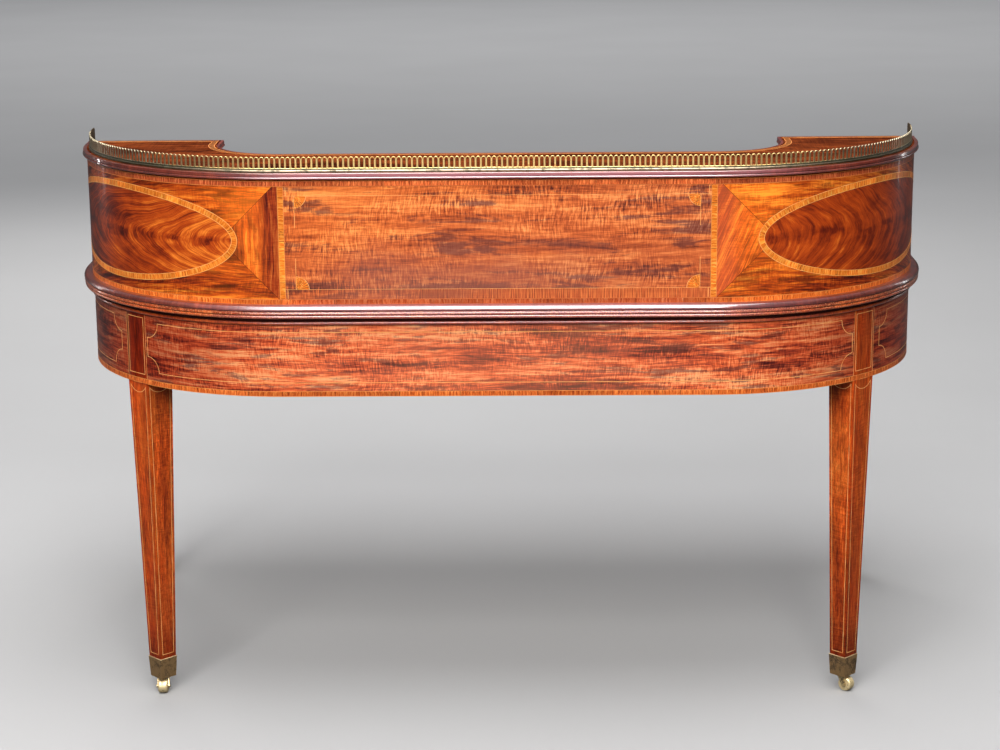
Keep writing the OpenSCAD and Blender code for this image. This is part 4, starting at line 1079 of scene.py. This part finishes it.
# ------------------------------------------------------------------
# pierced gallery: arched openings with scalloped tops over a moulded base
# ------------------------------------------------------------------
def gallery():
    rg, t = 0.375, 0.0015
    at = on_outline(rg)
    zb, zs, zc, zt = 0.9512, 0.9557, 0.96965, 0.9742
    quarter = rg * pi / 2
    pa, pf = quarter / 68, 2 * CX / 82
    cells = [(-CX - quarter + pa * (i + 0.5), pa) for i in range(3, 68)]
    cells += [(-CX + pf * (i + 0.5), pf) for i in range(82)]
    cells += [(CX + pa * (i + 0.5), pa) for i in range(65)]
    b = Build()
    arch = [180 - 22.5 * i for i in range(9)]
    for c, p in cells:
        h, w, ch = p / 2, 0.0028, 0.00035

        def line(hw, top, spread=0.0):
            q = [(-hw, zs - spread), (-hw, zc)]
            q += [(hw * math.cos(math.radians(a)), zc + top * math.sin(math.radians(a))) for a in arch[1:-1]]
            return q + [(hw, zc), (hw, zs - spread)]
        out_f, out_m = line(h, zt - zc - ch), line(h, zt - zc)
        in_f, in_m = line(w + ch, w * 1.18 + ch, ch), line(w, w * 1.18)
        for q in (out_f, out_m):
            q[0], q[-1] = (-h, zs - ch), (h, zs - ch)

        def put(q, o):
            return b.ring([at(c + x, z, o) for x, z in q])
        rows = [put(out_m, -t), put(out_m, -ch), put(out_f, 0.0), put(in_f, 0.0), put(in_m, -ch), put(in_m, -t), put(in_f[:1] + in_m[1:-1] + in_f[-1:], -t)]
        uvs = [(c + x, z) for x, z in out_m]
        m = len(out_m)
        for j in range(m - 1):
            uv = (uvs[j], uvs[j + 1], uvs[j + 1], uvs[j])
            solid = 0 < j < m - 2
            if solid:
                b.face((rows[0][j], rows[0][j + 1], rows[1][j + 1], rows[1][j]), uv)
                b.face((rows[1][j], rows[1][j + 1], rows[2][j + 1], rows[2][j]), uv)
            b.face((rows[2][j], rows[2][j + 1], rows[3][j + 1], rows[3][j]), uv)
            b.face((rows[3][j], rows[3][j + 1], rows[4][j + 1], rows[4][j]), uv)
            b.face((rows[4][j], rows[4][j + 1], rows[5][j + 1], rows[5][j]), uv)
            b.face((rows[5][j], rows[5][j + 1], rows[0][j + 1], rows[0][j]), uv)
        # sill of the opening and the plain strip under it
        uv = (uvs[0], uvs[1], uvs[1], uvs[0])
        b.face((rows[3][-1], rows[3][0], rows[4][0], rows[4][-1]), uv)
        b.face((rows[4][-1], rows[4][0], rows[5][0], rows[5][-1]), uv)
        low = put([(-h, zb), (-w - ch, zb), (w + ch, zb), (h, zb)], 0.0)
        lowb = put([(-h, zb), (-w, zb), (w, zb), (h, zb)], -t)
        tops = [rows[2][0], rows[3][0], rows[3][-1], rows[2][-1]]
        topb = [rows[0][0], rows[5][0], rows[5][-1], rows[0][-1]]
        for k in range(3):
            b.face((low[k], low[k + 1], tops[k + 1], tops[k]), uv)
            b.face((lowb[k], lowb[k + 1], topb[k + 1], topb[k]), uv)
            b.face((low[k], low[k + 1], lowb[k + 1], lowb[k]), uv)
    # end faces of the pierced run
    for (c, p), sd in ((cells[0], -1), (cells[-1], 1)):
        e = c + sd * p / 2
        q = b.ring([at(e, zb, 0), at(e, zs - 0.00035, 0), at(e, zc, 0), at(e, zc, -0.00035), at(e, zc, -t), at(e, zs - 0.00035, -t), at(e, zb, -t)])
        b.face(q, [(0, 0)] * 7)
    b.make("gallery_arcade", M["gallery"], "carcass", "brass_polished", ["gallery"], sharp=30, weld=True)
    # plain ends with a rounded corner, in a darker copy of the gallery brass: painted shade
    b = Build()
    for sg in (-1, 1):
        s0, s1 = CX + quarter - 3 * pa, CX + quarter + 0.0140
        rr = 0.0052
        rings, us = [], []
        for i in range(29):
            s = s0 + (s1 - s0) * (1 - (1 - i / 28) ** 1.6)
            top = zt
            for d in (s - s0, s1 - s):
                if d < rr:
                    top = min(top, zt - rr + math.sqrt(max(0.0, rr * rr - (rr - d) ** 2)))
            rings.append([at(sg * s, zb, 0), at(sg * s, top - 0.0003, 0), at(sg * s, top, -0.0004), at(sg * s, top, -t + 0.0004), at(sg * s, top - 0.0003, -t), at(sg * s, zb, -t)])
            us.append(s)
        b.tube(rings, us, [0, 0.02, 0.021, 0.022, 0.023, 0.04, 0.041])
    b.make("gallery_ends", M["gallery_end_shaded"], "carcass", "brass_polished", sharp=50)
    # base moulding
    b = Build()
    z = 948.5
    parts = [([(-5.5, z), (1.1, z)] + arc2(-0.35, z + 2.35, 1.85, -38, 74, 10), 0),
             ([(0.16, z + 4.6), (0.16, z + 6.6), (-0.05, z + 6.9), (-1.45, z + 6.9), (-1.66, z + 6.6), (-1.66, z + 4.0), (-5.5, z + 1.8)], 1)]
    pts, mats = profile(parts)
    sweep(b, outline_path(rg, CX + rg, CY - 0.014, 68), pts, mi=mats)
    b.make("gallery_base", [M["gallery_base"], M["gallery_strip"]], "carcass", "brass_polished", sharp=35)


gallery()

# ------------------------------------------------------------------
# stringing on the legs
# ------------------------------------------------------------------
rear_c = Rf - BLOCK / 2
rear = (CX + rear_c * math.cos(pi / 4), CY + rear_c * math.sin(pi / 4))
fr = (Wf - BLOCK / 2 - 0.001, YF + BLOCK / 2)
LEG_TOP, LEG_LOW, CAP_Z = 0.053, 0.0334, 0.067


def leg_half(z):
    return 0.5 * (LEG_LOW + (LEG_TOP - LEG_LOW) * (z - CAP_Z) / (FRIEZE_Z - CAP_Z))


def on_leg(px, py, ang):
    n = Vector((math.cos(ang), math.sin(ang), 0))
    t = Vector((-math.sin(ang), math.cos(ang), 0))

    def at(a, z, o=0.0):
        p = Vector((px, py, z)) + n * (leg_half(z) + o) + t * a
        return tuple(p)
    return at


leg_strings = Build()
for (px, py, base) in ((rear[0], rear[1], pi / 4), (-rear[0], rear[1], 3 * pi / 4), (fr[0], fr[1], 0.0), (-fr[0], fr[1], pi)):
    for k in range(4):
        at = on_leg(px, py, base + k * pi / 2)
        ins = 0.0052
        z0, z1 = 0.0745, 0.5650
        w0, w1 = leg_half(z0) - ins, leg_half(z1) - ins
        line = [(-w0, z0), (w0, z0)]
        line += [(w1, z1)]
        dip = 0.011
        rr = (w1 * w1 + dip * dip) / (2 * dip)
        am = math.degrees(math.asin(w1 / rr))
        line += arc2(0, z1 + rr - dip, rr, -90 + am, -90 - am, 12)[1:-1]
        line += [(-w1, z1)]
        strip(leg_strings, at, line, 0.0011, True, step=0.05)
leg_strings.make("leg_stringing", M["box"], "carcass", "satinwood")

# ------------------------------------------------------------------
# drawers, doors and knobs
# ------------------------------------------------------------------
def lathe(b, p, axis, prof, n=28, mi=0):
    """turned shape: prof holds (radius, distance along the axis)"""
    axis = Vector(axis).normalized()
    e1 = axis.orthogonal().normalized()
    e2 = axis.cross(e1)
    rings = []
    for r, h in prof:
        r = max(r, 0.00002)
        rings.append([tuple(Vector(p) + axis * h + e1 * (r * math.cos(2 * pi * k / n)) + e2 * (r * math.sin(2 * pi * k / n))) for k in range(n)])
    b.tube(rings, [h for r, h in prof], [k / n for k in range(n + 1)], mi=mi)


KNOB = [(0.0050, -0.0002), (0.0050, 0.0008), (0.0046, 0.0012), (0.0027, 0.0018), (0.0022, 0.0030), (0.0022, 0.0048), (0.0032, 0.0058),
        (0.0048, 0.0068), (0.0057, 0.0080), (0.0060, 0.0093), (0.0057, 0.0106), (0.0047, 0.0117), (0.0036, 0.0123), (0.0034, 0.01215), (0.0022, 0.0126), (0.0010, 0.0129), (0.0, 0.0130)]


def knob(name, p, axis, body):
    b = Build()
    lathe(b, p, axis, KNOB)
    b.make(name, M["knob"], body, "brass", sharp=50)


def drawer(name, x, y, z, w, h, length, ft, st, bw, off, front_mat, knob_at=None, inset=0.008, hollow=0.012):
    """front with inlaid lines, and a box of lining boards with a rebated bottom"""
    b = Build()
    b.box((x - w / 2, y, z), (x + w / 2, y + ft, z + h), 0)
    b.make(name + "_front", [front_mat], name, "mahogany", [name], bevel=0.0006)
    b = Build()
    x0, x1 = x + off - bw / 2, x + off + bw / 2
    top = z + h - 0.008
    b.box((x0, y + ft, z), (x0 + st, y + length, top), 0)
    b.box((x1 - st, y + ft, z), (x1, y + length, top), 0)
    b.box((x0 + st, y + length - st, z), (x1 - st, y + length, top), 1)
    b.box((x0 + st, y + ft, z + 0.0002), (x1 - st, y + length - st, z + 0.007), 2)
    b.make(name + "_box", [M["drawer_y"], M["drawer_x"], M["drawer_base"]], name, "drawer_lining", bevel=0.0004)
    # dovetails showing on the sides behind the front, and at the back
    b = Build()
    pins = max(2, int((top - z) / 0.022))
    pitch = (top - z) / pins
    for xs, sg in ((x0, -1), (x1, 1)):
        at = on_plane((xs, 0, 0), (0, 1, 0), (0, 0, 1), (sg, 0, 0))
        for k in range(pins):
            zc = z + pitch * (k + 0.5)
            for ya, yb_ in ((y + ft, y + ft + st * 0.9), (y + length, y + length - st * 0.95)):
                q = [(ya, zc - pitch * 0.13), (ya, zc + pitch * 0.13), (yb_, zc + pitch * 0.26), (yb_, zc - pitch * 0.26)]
                lo, hi = b.ring([at(a, c, -0.0004) for a, c in q]), b.ring([at(a, c, 0.00006) for a, c in q])
                b.face(hi, q)
                b.face(lo[::-1], q[::-1])
                for j in range(4):
                    m = (j + 1) % 4
                    b.face((hi[j], lo[j], lo[m], hi[m]), (q[j], q[j], q[m], q[m]))
    b.make(name + "_dovetails", M["drawer_end"], name, "drawer_lining")
    # lines on the front
    b, c = Build(), Build()
    at = on_plane((x, y, z + h / 2), (1, 0, 0), (0, 0, 1), (0, -1, 0))
    hw, hh = w / 2, h / 2
    strip(b, at, rect(-hw + 0.0034, hw - 0.0034, -hh + 0.0034, hh - 0.0034), 0.0044, True, step=0.05)
    strip(c, at, rect(-hw + 0.0061, hw - 0.0061, -hh + 0.0061, hh - 0.0061), 0.0009, True, top=0.0002, step=0.05)
    a = inset + 0.006
    strip(c, at, hollow_corners(-hw + a, hw - a, -hh + a, hh - a, hollow), 0.0010, True, top=0.0002, step=0.05)
    b.make(name + "_crossband", M["satin_front"], name, "satinwood")
    c.make(name + "_string", M["box"], name, "satinwood")
    if knob_at:
        knob(name + "_knob", knob_at, (0, -1, 0), name)


frieze_h = OPEN_Z1 - OPEN_Z0 - 2 * GAP
side_w = LEG_IN - SIDE_X0
for side, x, w in (("left", -(SIDE_X0 + LEG_IN) / 2, side_w), ("centre", 0.0, 2 * DIV_X), ("right", (SIDE_X0 + LEG_IN) / 2, side_w)):
    drawer("frieze_drawer_" + side, x, YF, OPEN_Z0 + GAP, w - 2 * GAP, frieze_h, 0.480, 0.020, 0.010, w - 2 * GAP - 0.002, 0.0, M["front"], hollow=0.0150)
SHELF_Z = BASE_Z + 0.086
bay_w = (2 * (DCX - 0.012) - 0.016) / 3
for k, side in ((-1, "left"), (0, "centre"), (1, "right")):
    x = k * (bay_w + 0.008)
    drawer("bank_drawer_" + side, x, BANK_Y, BASE_Z + GAP, bay_w - 2 * GAP, SHELF_Z - BASE_Z - 2 * GAP, 0.200, 0.012, 0.006, bay_w - 2 * GAP - 0.001, 0.0,
           M["front"], (x, BANK_Y, (BASE_Z + SHELF_Z) / 2))
WX0, WX1, WING_H = 0.527, 0.721, 0.096
for sg, side in ((-1, "left"), (1, "right")):
    for k, lvl in ((0, "lower"), (1, "upper")):
        z = BASE_Z + k * (WING_H + 0.006)
        xm, w = sg * (WX0 + WX1) / 2, WX1 - WX0
        drawer("wing_drawer_%s_%s" % (side, lvl), xm, WING_Y, z + GAP, w - 2 * GAP, WING_H - 2 * GAP, 0.110, 0.012, 0.006, w - 0.015, -sg * 0.0065,
               M["front"], (xm, WING_Y, z + WING_H / 2))

# concave doors
HINGE_A, CLOSE_A = math.radians(3.2), math.radians(88.0)
HD = DOOR_R + DOOR_T / 2
PX, PY = DCX + HD * math.cos(HINGE_A), DCY + HD * math.sin(HINGE_A)
REACH = math.hypot(DCX + DOOR_R * math.cos(CLOSE_A) - PX, DCY + DOOR_R * math.sin(CLOSE_A) - PY)
RO = DOOR_R + DOOR_T
A1 = HINGE_A + math.acos((RO * RO + HD * HD - REACH * REACH) / (2 * RO * HD))
DZ0, DZ1 = BASE_Z + 0.001, LID_Z - 0.001
for sg, side in ((-1, "left"), (1, "right")):
    name = "door_" + side
    b = Build()
    rings, us = [], []

    def section(pi_, po):
        rings.append([(sg * pi_[0], pi_[1], DZ0), (sg * pi_[0], pi_[1], DZ1), (sg * po[0], po[1], DZ1), (sg * po[0], po[1], DZ0)])
    nx, ny = math.cos(HINGE_A), math.sin(HINGE_A)
    for i in range(10):
        f = pi / 2 * (1 - (i + 0.35) / 10.0)
        c, s = math.cos(f) * DOOR_T / 2, math.sin(f) * DOOR_T / 2
        section((PX - nx * c + ny * s, PY - ny * c - nx * s), (PX + nx * c + ny * s, PY + ny * c - nx * s))
        us.append(-0.0075 * math.sin(f))
    for i in range(73):
        a, o = HINGE_A + (CLOSE_A - HINGE_A) * i / 72, HINGE_A + (A1 - HINGE_A) * i / 72
        section((DCX + DOOR_R * math.cos(a), DCY + DOOR_R * math.sin(a)), (DCX + RO * math.cos(o), DCY + RO * math.sin(o)))
        us.append(DOOR_R * (a - HINGE_A))
    b.tube(rings, us, [DZ0, DZ1, DZ1 + DOOR_T, DZ0 - DOOR_T, DZ0])
    b.make(name + "_leaf", M["door"], name, "mahogany", [name], sharp=30)

    def on_door(a, z, o=0.0, sg=sg):
        r = DOOR_R - o
        ang = HINGE_A + a / DOOR_R
        return (sg * (DCX + r * math.cos(ang)), DCY + r * math.sin(ang), z)
    span = DOOR_R * (CLOSE_A - HINGE_A)
    b, c = Build(), Build()
    strip(b, on_door, rect(0.0045, span - 0.0045, DZ0 + 0.0045, DZ1 - 0.0045), 0.0062, True, step=0.003)
    strip(c, on_door, rect(0.0081, span - 0.0081, DZ0 + 0.0081, DZ1 - 0.0081), 0.0009, True, top=0.0002, step=0.003)
    strip(c, on_door, hollow_corners(0.0170, span - 0.0170, DZ0 + 0.0170, DZ1 - 0.0170, 0.0140), 0.0010, True, top=0.0002, step=0.003)
    b.make(name + "_crossband", M["satin_front"], name, "satinwood")
    c.make(name + "_string", M["box"], name, "satinwood")
    ka = math.radians(78.0)
    knob(name + "_knob", (sg * (DCX + DOOR_R * math.cos(ka)), DCY + DOOR_R * math.sin(ka), BASE_Z + 0.099), (-sg * math.cos(ka), -math.sin(ka), 0), name)

# front of the frieze: band along the lower edge, lines on the leg blocks and dividers
at = on_plane((0, YF, 0), (1, 0, 0), (0, 0, 1), (0, -1, 0))
banded(at, [(-Wf + 0.0004, 0.5760), (Wf - 0.0004, 0.5760)], 0.0074, to=low_band, u0=3.0)
for sg in (-1, 1):
    lo, hi = sorted((sg * (LEG_IN + 0.0055), sg * (Wf - 0.0055)))
    strip(strings, at, rect(lo, hi, 0.5880, 0.6872), 0.0011, True)
    lo, hi = sorted((sg * (DIV_X + 0.0045), sg * (SIDE_X0 - 0.0045)))
    strip(strings, at, rect(lo, hi, 0.5925, 0.6855), 0.0010, True)
    # wing stiles and the bank's closing posts
    lo, hi = sorted((sg * (BAY + 0.0045), sg * (WX0 - 0.0045)))
    at2 = on_plane((0, WING_Y, 0), (1, 0, 0), (0, 0, 1), (0, -1, 0))
    strip(strings, at2, rect(lo, hi, BASE_Z + 0.0045, LID_Z - 0.0150), 0.0009, True)
    strip(bands, at2, [(sg * (W - 0.0072), BASE_Z + 0.001), (sg * (W - 0.0072), LID_Z - 0.0105)], 0.0060, u0=5.0)

# ------------------------------------------------------------------
# tops: banding, and gilt lines on the leather
# ------------------------------------------------------------------
def plan_path(e, front):
    """edge of the open writing surface, e in from the case, front given as y"""
    out = [(-BAY + e, front)]
    out += [(-DCX + (DOOR_R - e) * math.cos(a), DCY + (DOOR_R - e) * math.sin(a)) for a in [pi - pi / 2 * i / 24 for i in range(25)]]
    out += [(DCX + (DOOR_R - e) * math.cos(a), DCY + (DOOR_R - e) * math.sin(a)) for a in [pi / 2 - pi / 2 * i / 24 for i in range(25)]]
    return out + [(BAY - e, front)]


def leather_line(e):
    k = 0.045 + e
    y1 = WING_Y - 0.045 - e
    out = plan_path(k, y1)
    out += [(Wf - k, y1), (Wf - k, YF + k), (-Wf + k, YF + k), (-Wf + k, y1)]
    return out


on_top = on_plane((0, 0, TOP_Z), (1, 0, 0), (0, 1, 0), (0, 0, 1))
on_roof = on_plane((0, 0, ROOF_Z), (1, 0, 0), (0, 1, 0), (0, 0, 1))
gilt = Build()
for e, w in ((0.0075, 0.0009), (0.0095, 0.0004), (0.0215, 0.0004), (0.0235, 0.0009), (0.050, 0.0005)):
    strip(gilt, on_top, leather_line(e), w, True, top=0.00006, deep=-0.0003, step=0.02)
# repeated tooled motif between the lines: linked ovals with a dot
loop = refine(leather_line(0.0155), 0.0100, True)
m = len(loop)
for i in range(m):
    pa_, pb_ = Vector(loop[i]), Vector(loop[(i + 1) % m])
    d = pb_ - pa_
    if d.length < 0.0045:
        continue
    c = (pa_ + pb_) / 2
    tx = d.normalized()
    ty = Vector((-tx.y, tx.x))
    oval = [tuple(c + tx * (d.length * 0.5 * math.cos(2 * pi * j / 16)) + ty * (0.0037 * math.sin(2 * pi * j / 16))) for j in range(16)]
    strip(gilt, on_top, oval, 0.0005, True, top=0.00006, deep=-0.0003, step=0.05)
    dot = [tuple(c + tx * (0.0011 * math.cos(2 * pi * j / 8)) + ty * (0.0016 * math.sin(2 * pi * j / 8))) for j in range(8)]
    hi, lo = gilt.ring([on_top(q[0], q[1], 0.00006) for q in dot]), gilt.ring([on_top(q[0], q[1], -0.0003) for q in dot])
    gilt.face(hi, dot)
    gilt.face(lo[::-1], dot[::-1])
    for j in range(8):
        k = (j + 1) % 8
        gilt.face((hi[j], lo[j], lo[k], hi[k]), (dot[j], dot[j], dot[k], dot[k]))
gilt.make("gilt_tooling", M["gilt"], "carcass", "brass_polished")
# banding round the writing top and on the upper board
margin = [(-Wf + 0.022, WING_Y - 0.001), (-Wf + 0.022, YF + 0.022), (Wf - 0.022, YF + 0.022), (Wf - 0.022, WING_Y - 0.001)]
top_bands = Build()
banded(on_top, margin, 0.0180, to=top_bands)
strip(strings, on_top, leather_line(-0.0014), 0.0012, True, top=0.0001, step=0.02)
for sg in (-1, 1):
    e = 0.0095
    inner = [(sg * (W - 0.004), WING_Y + e), (sg * (BAY + e), WING_Y + e)]
    inner += [(sg * (DCX + (DOOR_R + e) * math.cos(a)), DCY + (DOOR_R + e) * math.sin(a)) for a in [pi / 2 * i / 30 for i in range(31)]]
    inner += [(0.0, DCY + DOOR_R + e)]
    banded(on_roof, inner, 0.0090, to=top_bands, u0=2.0)
top_bands.make("top_crossbanding", M["satin_top"], "carcass", "satinwood")

# ------------------------------------------------------------------
# CAD nodes that keep their own shape
# ------------------------------------------------------------------
def dress(name, mat, bevel=0.0, angle=35.0):
    o = nodes[name]
    o.data.materials.clear()
    o.data.materials.append(mat)
    if bevel:
        w = o.modifiers.new("weld", "WELD")
        w.merge_threshold = 0.00001
        bv = o.modifiers.new("edge_rounding", "BEVEL")
        bv.width = bevel
        bv.segments = 2
        bv.limit_method = "ANGLE"
        bv.angle_limit = math.radians(angle)
        bv.harden_normals = True
    return o


for n_ in ("leg_rear_left", "leg_rear_right", "leg_front_left", "leg_front_right"):
    dress(n_, M["leg"], 0.0008)
for n_ in ("front_rail_upper", "front_rail_lower"):
    dress(n_, M["plain_x"])
dress("drawer_dividers", M["plain_z"])
dress("drawer_runners", M["inside_y"])
dress("desk_top", M["top"])
dress("writing_leather", M["leather"])
dress("upper_base", M["plain_x"])
dress("upper_top", M["roof"])
dress("bank_partition_left", M["plain_z"])
dress("bank_partition_right", M["plain_z"])
dress("bank_shelf", M["plain_x"], 0.0004)
dress("bank_dividers", M["plain_z"], 0.0004)
dress("wing_cheek_left", M["plain_z"], 0.0006)
dress("wing_cheek_right", M["plain_z"], 0.0006)
dress("wing_partitions", M["inside_z"])
dress("wing_shelves", M["plain_x"])
dress("door_pivots", M["brass"])
dress("castor_caps", M["cap"], 0.0006)
for n_ in nodes:
    if n_.startswith("castor_yoke"):
        dress(n_, M["fork"])
    elif n_.startswith("castor_wheel"):
        dress(n_, M["wheel"])
    elif n_.startswith("bail") or n_.startswith("handle_plates"):
        dress(n_, M["brass"])

low_band.make("frieze_crossbanding", M["satin_low"], "carcass", "satinwood")
edge_bands.make("edge_crossbanding", M["satin_edge"], "carcass", "satinwood")
dim_bands.make("upper_crossbanding", M["satin_dim"], "carcass", "satinwood")
bands.make("crossbanding", M["satin"], "carcass", "satinwood")
strings.make("stringing", M["box"], "carcass", "satinwood")
band_lines.make("band_stringing", M["line"], "carcass", "satinwood")
oval_lines.make("oval_stringing", M["line_oval"], "carcass", "satinwood")
edge_lines.make("edge_stringing", M["line_edge"], "carcass", "satinwood")
ovals.make("oval_bands", M["satin_oval"], "carcass", "satinwood")
fans.make("corner_fans", M["satin_oval"], "carcass", "satinwood", sharp=20)


# ------------------------------------------------------------------
# studio
# ------------------------------------------------------------------
def area(name, loc, look, size, power, col=(1, 1, 1), size_y=None):
    l = bpy.data.lights.new(name, "AREA")
    l.shape = "RECTANGLE"
    l.size = size
    l.size_y = size_y or size
    l.energy = power
    l.color = col
    o = bpy.data.objects.new(name, l)
    scene.collection.objects.link(o)
    d = Vector(look) - Vector(loc)
    o.matrix_world = Matrix.Translation(Vector(loc)) @ d.to_track_quat("-Z", "Y").to_matrix().to_4x4()
    return o


def studio():
    me = bpy.data.meshes.new("studio_floor")
    s = 60.0
    me.from_pydata([(-s, -s, 0), (s, -s, 0), (s, s, 0), (-s, s, 0)], [], [(0, 1, 2, 3)])
    me.materials.append(M["floor"])
    o = bpy.data.objects.new("studio_floor", me)
    scene.collection.objects.link(o)
    w = bpy.data.worlds.new("studio_world")
    scene.world = w
    w.use_nodes = True
    tr = w.node_tree
    bg = tr.nodes["Background"]
    tc = tr.nodes.new("ShaderNodeTexCoord")
    sep = tr.nodes.new("ShaderNodeSeparateXYZ")
    ramp = tr.nodes.new("ShaderNodeValToRGB")
    tr.links.new(tc.outputs["Generated"], sep.inputs[0])
    tr.links.new(sep.outputs[2], ramp.inputs[0])
    e = ramp.color_ramp.elements
    e[0].position, e[0].color = 0.05, (0.045, 0.046, 0.048, 1)
    e[1].position, e[1].color = 0.9, (0.50, 0.51, 0.53, 1)
    k = e.new(0.35)
    k.color = (0.12, 0.122, 0.126, 1)
    lp = tr.nodes.new("ShaderNodeLightPath")
    mx = tr.nodes.new("ShaderNodeMix")
    mx.data_type = "RGBA"
    tr.links.new(lp.outputs["Is Camera Ray"], mx.inputs["Factor"])
    tr.links.new(ramp.outputs[0], mx.inputs[6])
    mx.inputs[7].default_value = (0.42, 0.418, 0.42, 1)
    tr.links.new(mx.outputs[2], bg.inputs[0])
    bg.inputs[1].default_value = 1.0
    area("key_light", (0.5, 4.0, 3.35), (0, 0.2, 0.60), 3.4, 230, (1.0, 0.985, 0.965), 2.2)
    area("top_light", (0.0, 0.7, 3.8), (0, 0.2, 0.7), 3.0, 130, (1.0, 1.0, 1.0), 2.4)
    o = area("front_light", (0.9, -4.2, 3.0), (0, 0.0, 0.6), 3.4, 110, (1.0, 0.985, 0.965), 2.2)
    o.visible_glossy = False
    o = area("far_light", (0.0, -11.5, 6.0), (0, -11.5, 0.0), 12.0, 300, (1.0, 1.0, 1.0), 7.0)
    o.visible_glossy = False
    # reflections only: a tall soft panel over the camera
    for name, loc, sx, sy, power in (("sheen_high", (0.0, 2.1, 3.9), 2.4, 1.9, 190), ("sheen_low", (0.0, 4.4, 2.9), 2.4, 1.7, 125), ("sheen_far", (0.0, -0.9, 3.6), 2.2, 1.6, 80),
                                    ("glint_left", (3.3, -1.7, 1.3), 0.10, 1.9, 7), ("glint_right", (-3.3, -1.9, 1.3), 0.10, 1.9, 6)):
        o = area(name, loc, (0, 0.35, 0.75), sx, power, (1.0, 1.0, 1.0), sy)
        o.visible_diffuse = False


def camera():
    f, pitch, roll, yaw = 2337.9, 0.236, 0.0085, 0.0157
    cp, sp, cw, sw = math.cos(pitch), math.sin(pitch), math.cos(yaw), math.sin(yaw)
    a = Matrix(((1, 0, 0), (0, cp, -sp), (0, sp, cp))) @ Matrix(((cw, sw, 0), (-sw, cw, 0), (0, 0, 1)))
    r0, fw, u0 = Vector(a[0]), Vector(a[1]), Vector(a[2])
    rt = r0 * math.cos(roll) - u0 * math.sin(roll)
    up = r0 * math.sin(roll) + u0 * math.cos(roll)

    def turn(v):
        return Vector((-v.x, -v.y, v.z))
    rt, up, fw = turn(rt), turn(up), turn(fw)
    cam = bpy.data.cameras.new("camera")
    cam.sensor_fit = "HORIZONTAL"
    cam.sensor_width = 36.0
    cam.lens = f * 36.0 / 1000.0
    cam.clip_end = 200.0
    o = bpy.data.objects.new("camera", cam)
    scene.collection.objects.link(o)
    m = Matrix.Identity(4)
    for i in range(3):
        m[i][0], m[i][1], m[i][2] = rt[i], up[i], -fw[i]
    m[0][3], m[1][3], m[2][3] = -0.0618, 4.1935, 1.518
    o.matrix_world = m
    scene.camera = o


studio()
camera()
scene.view_settings.view_transform = "Standard"
scene.view_settings.look = "None"
scene.view_settings.exposure = 0.0
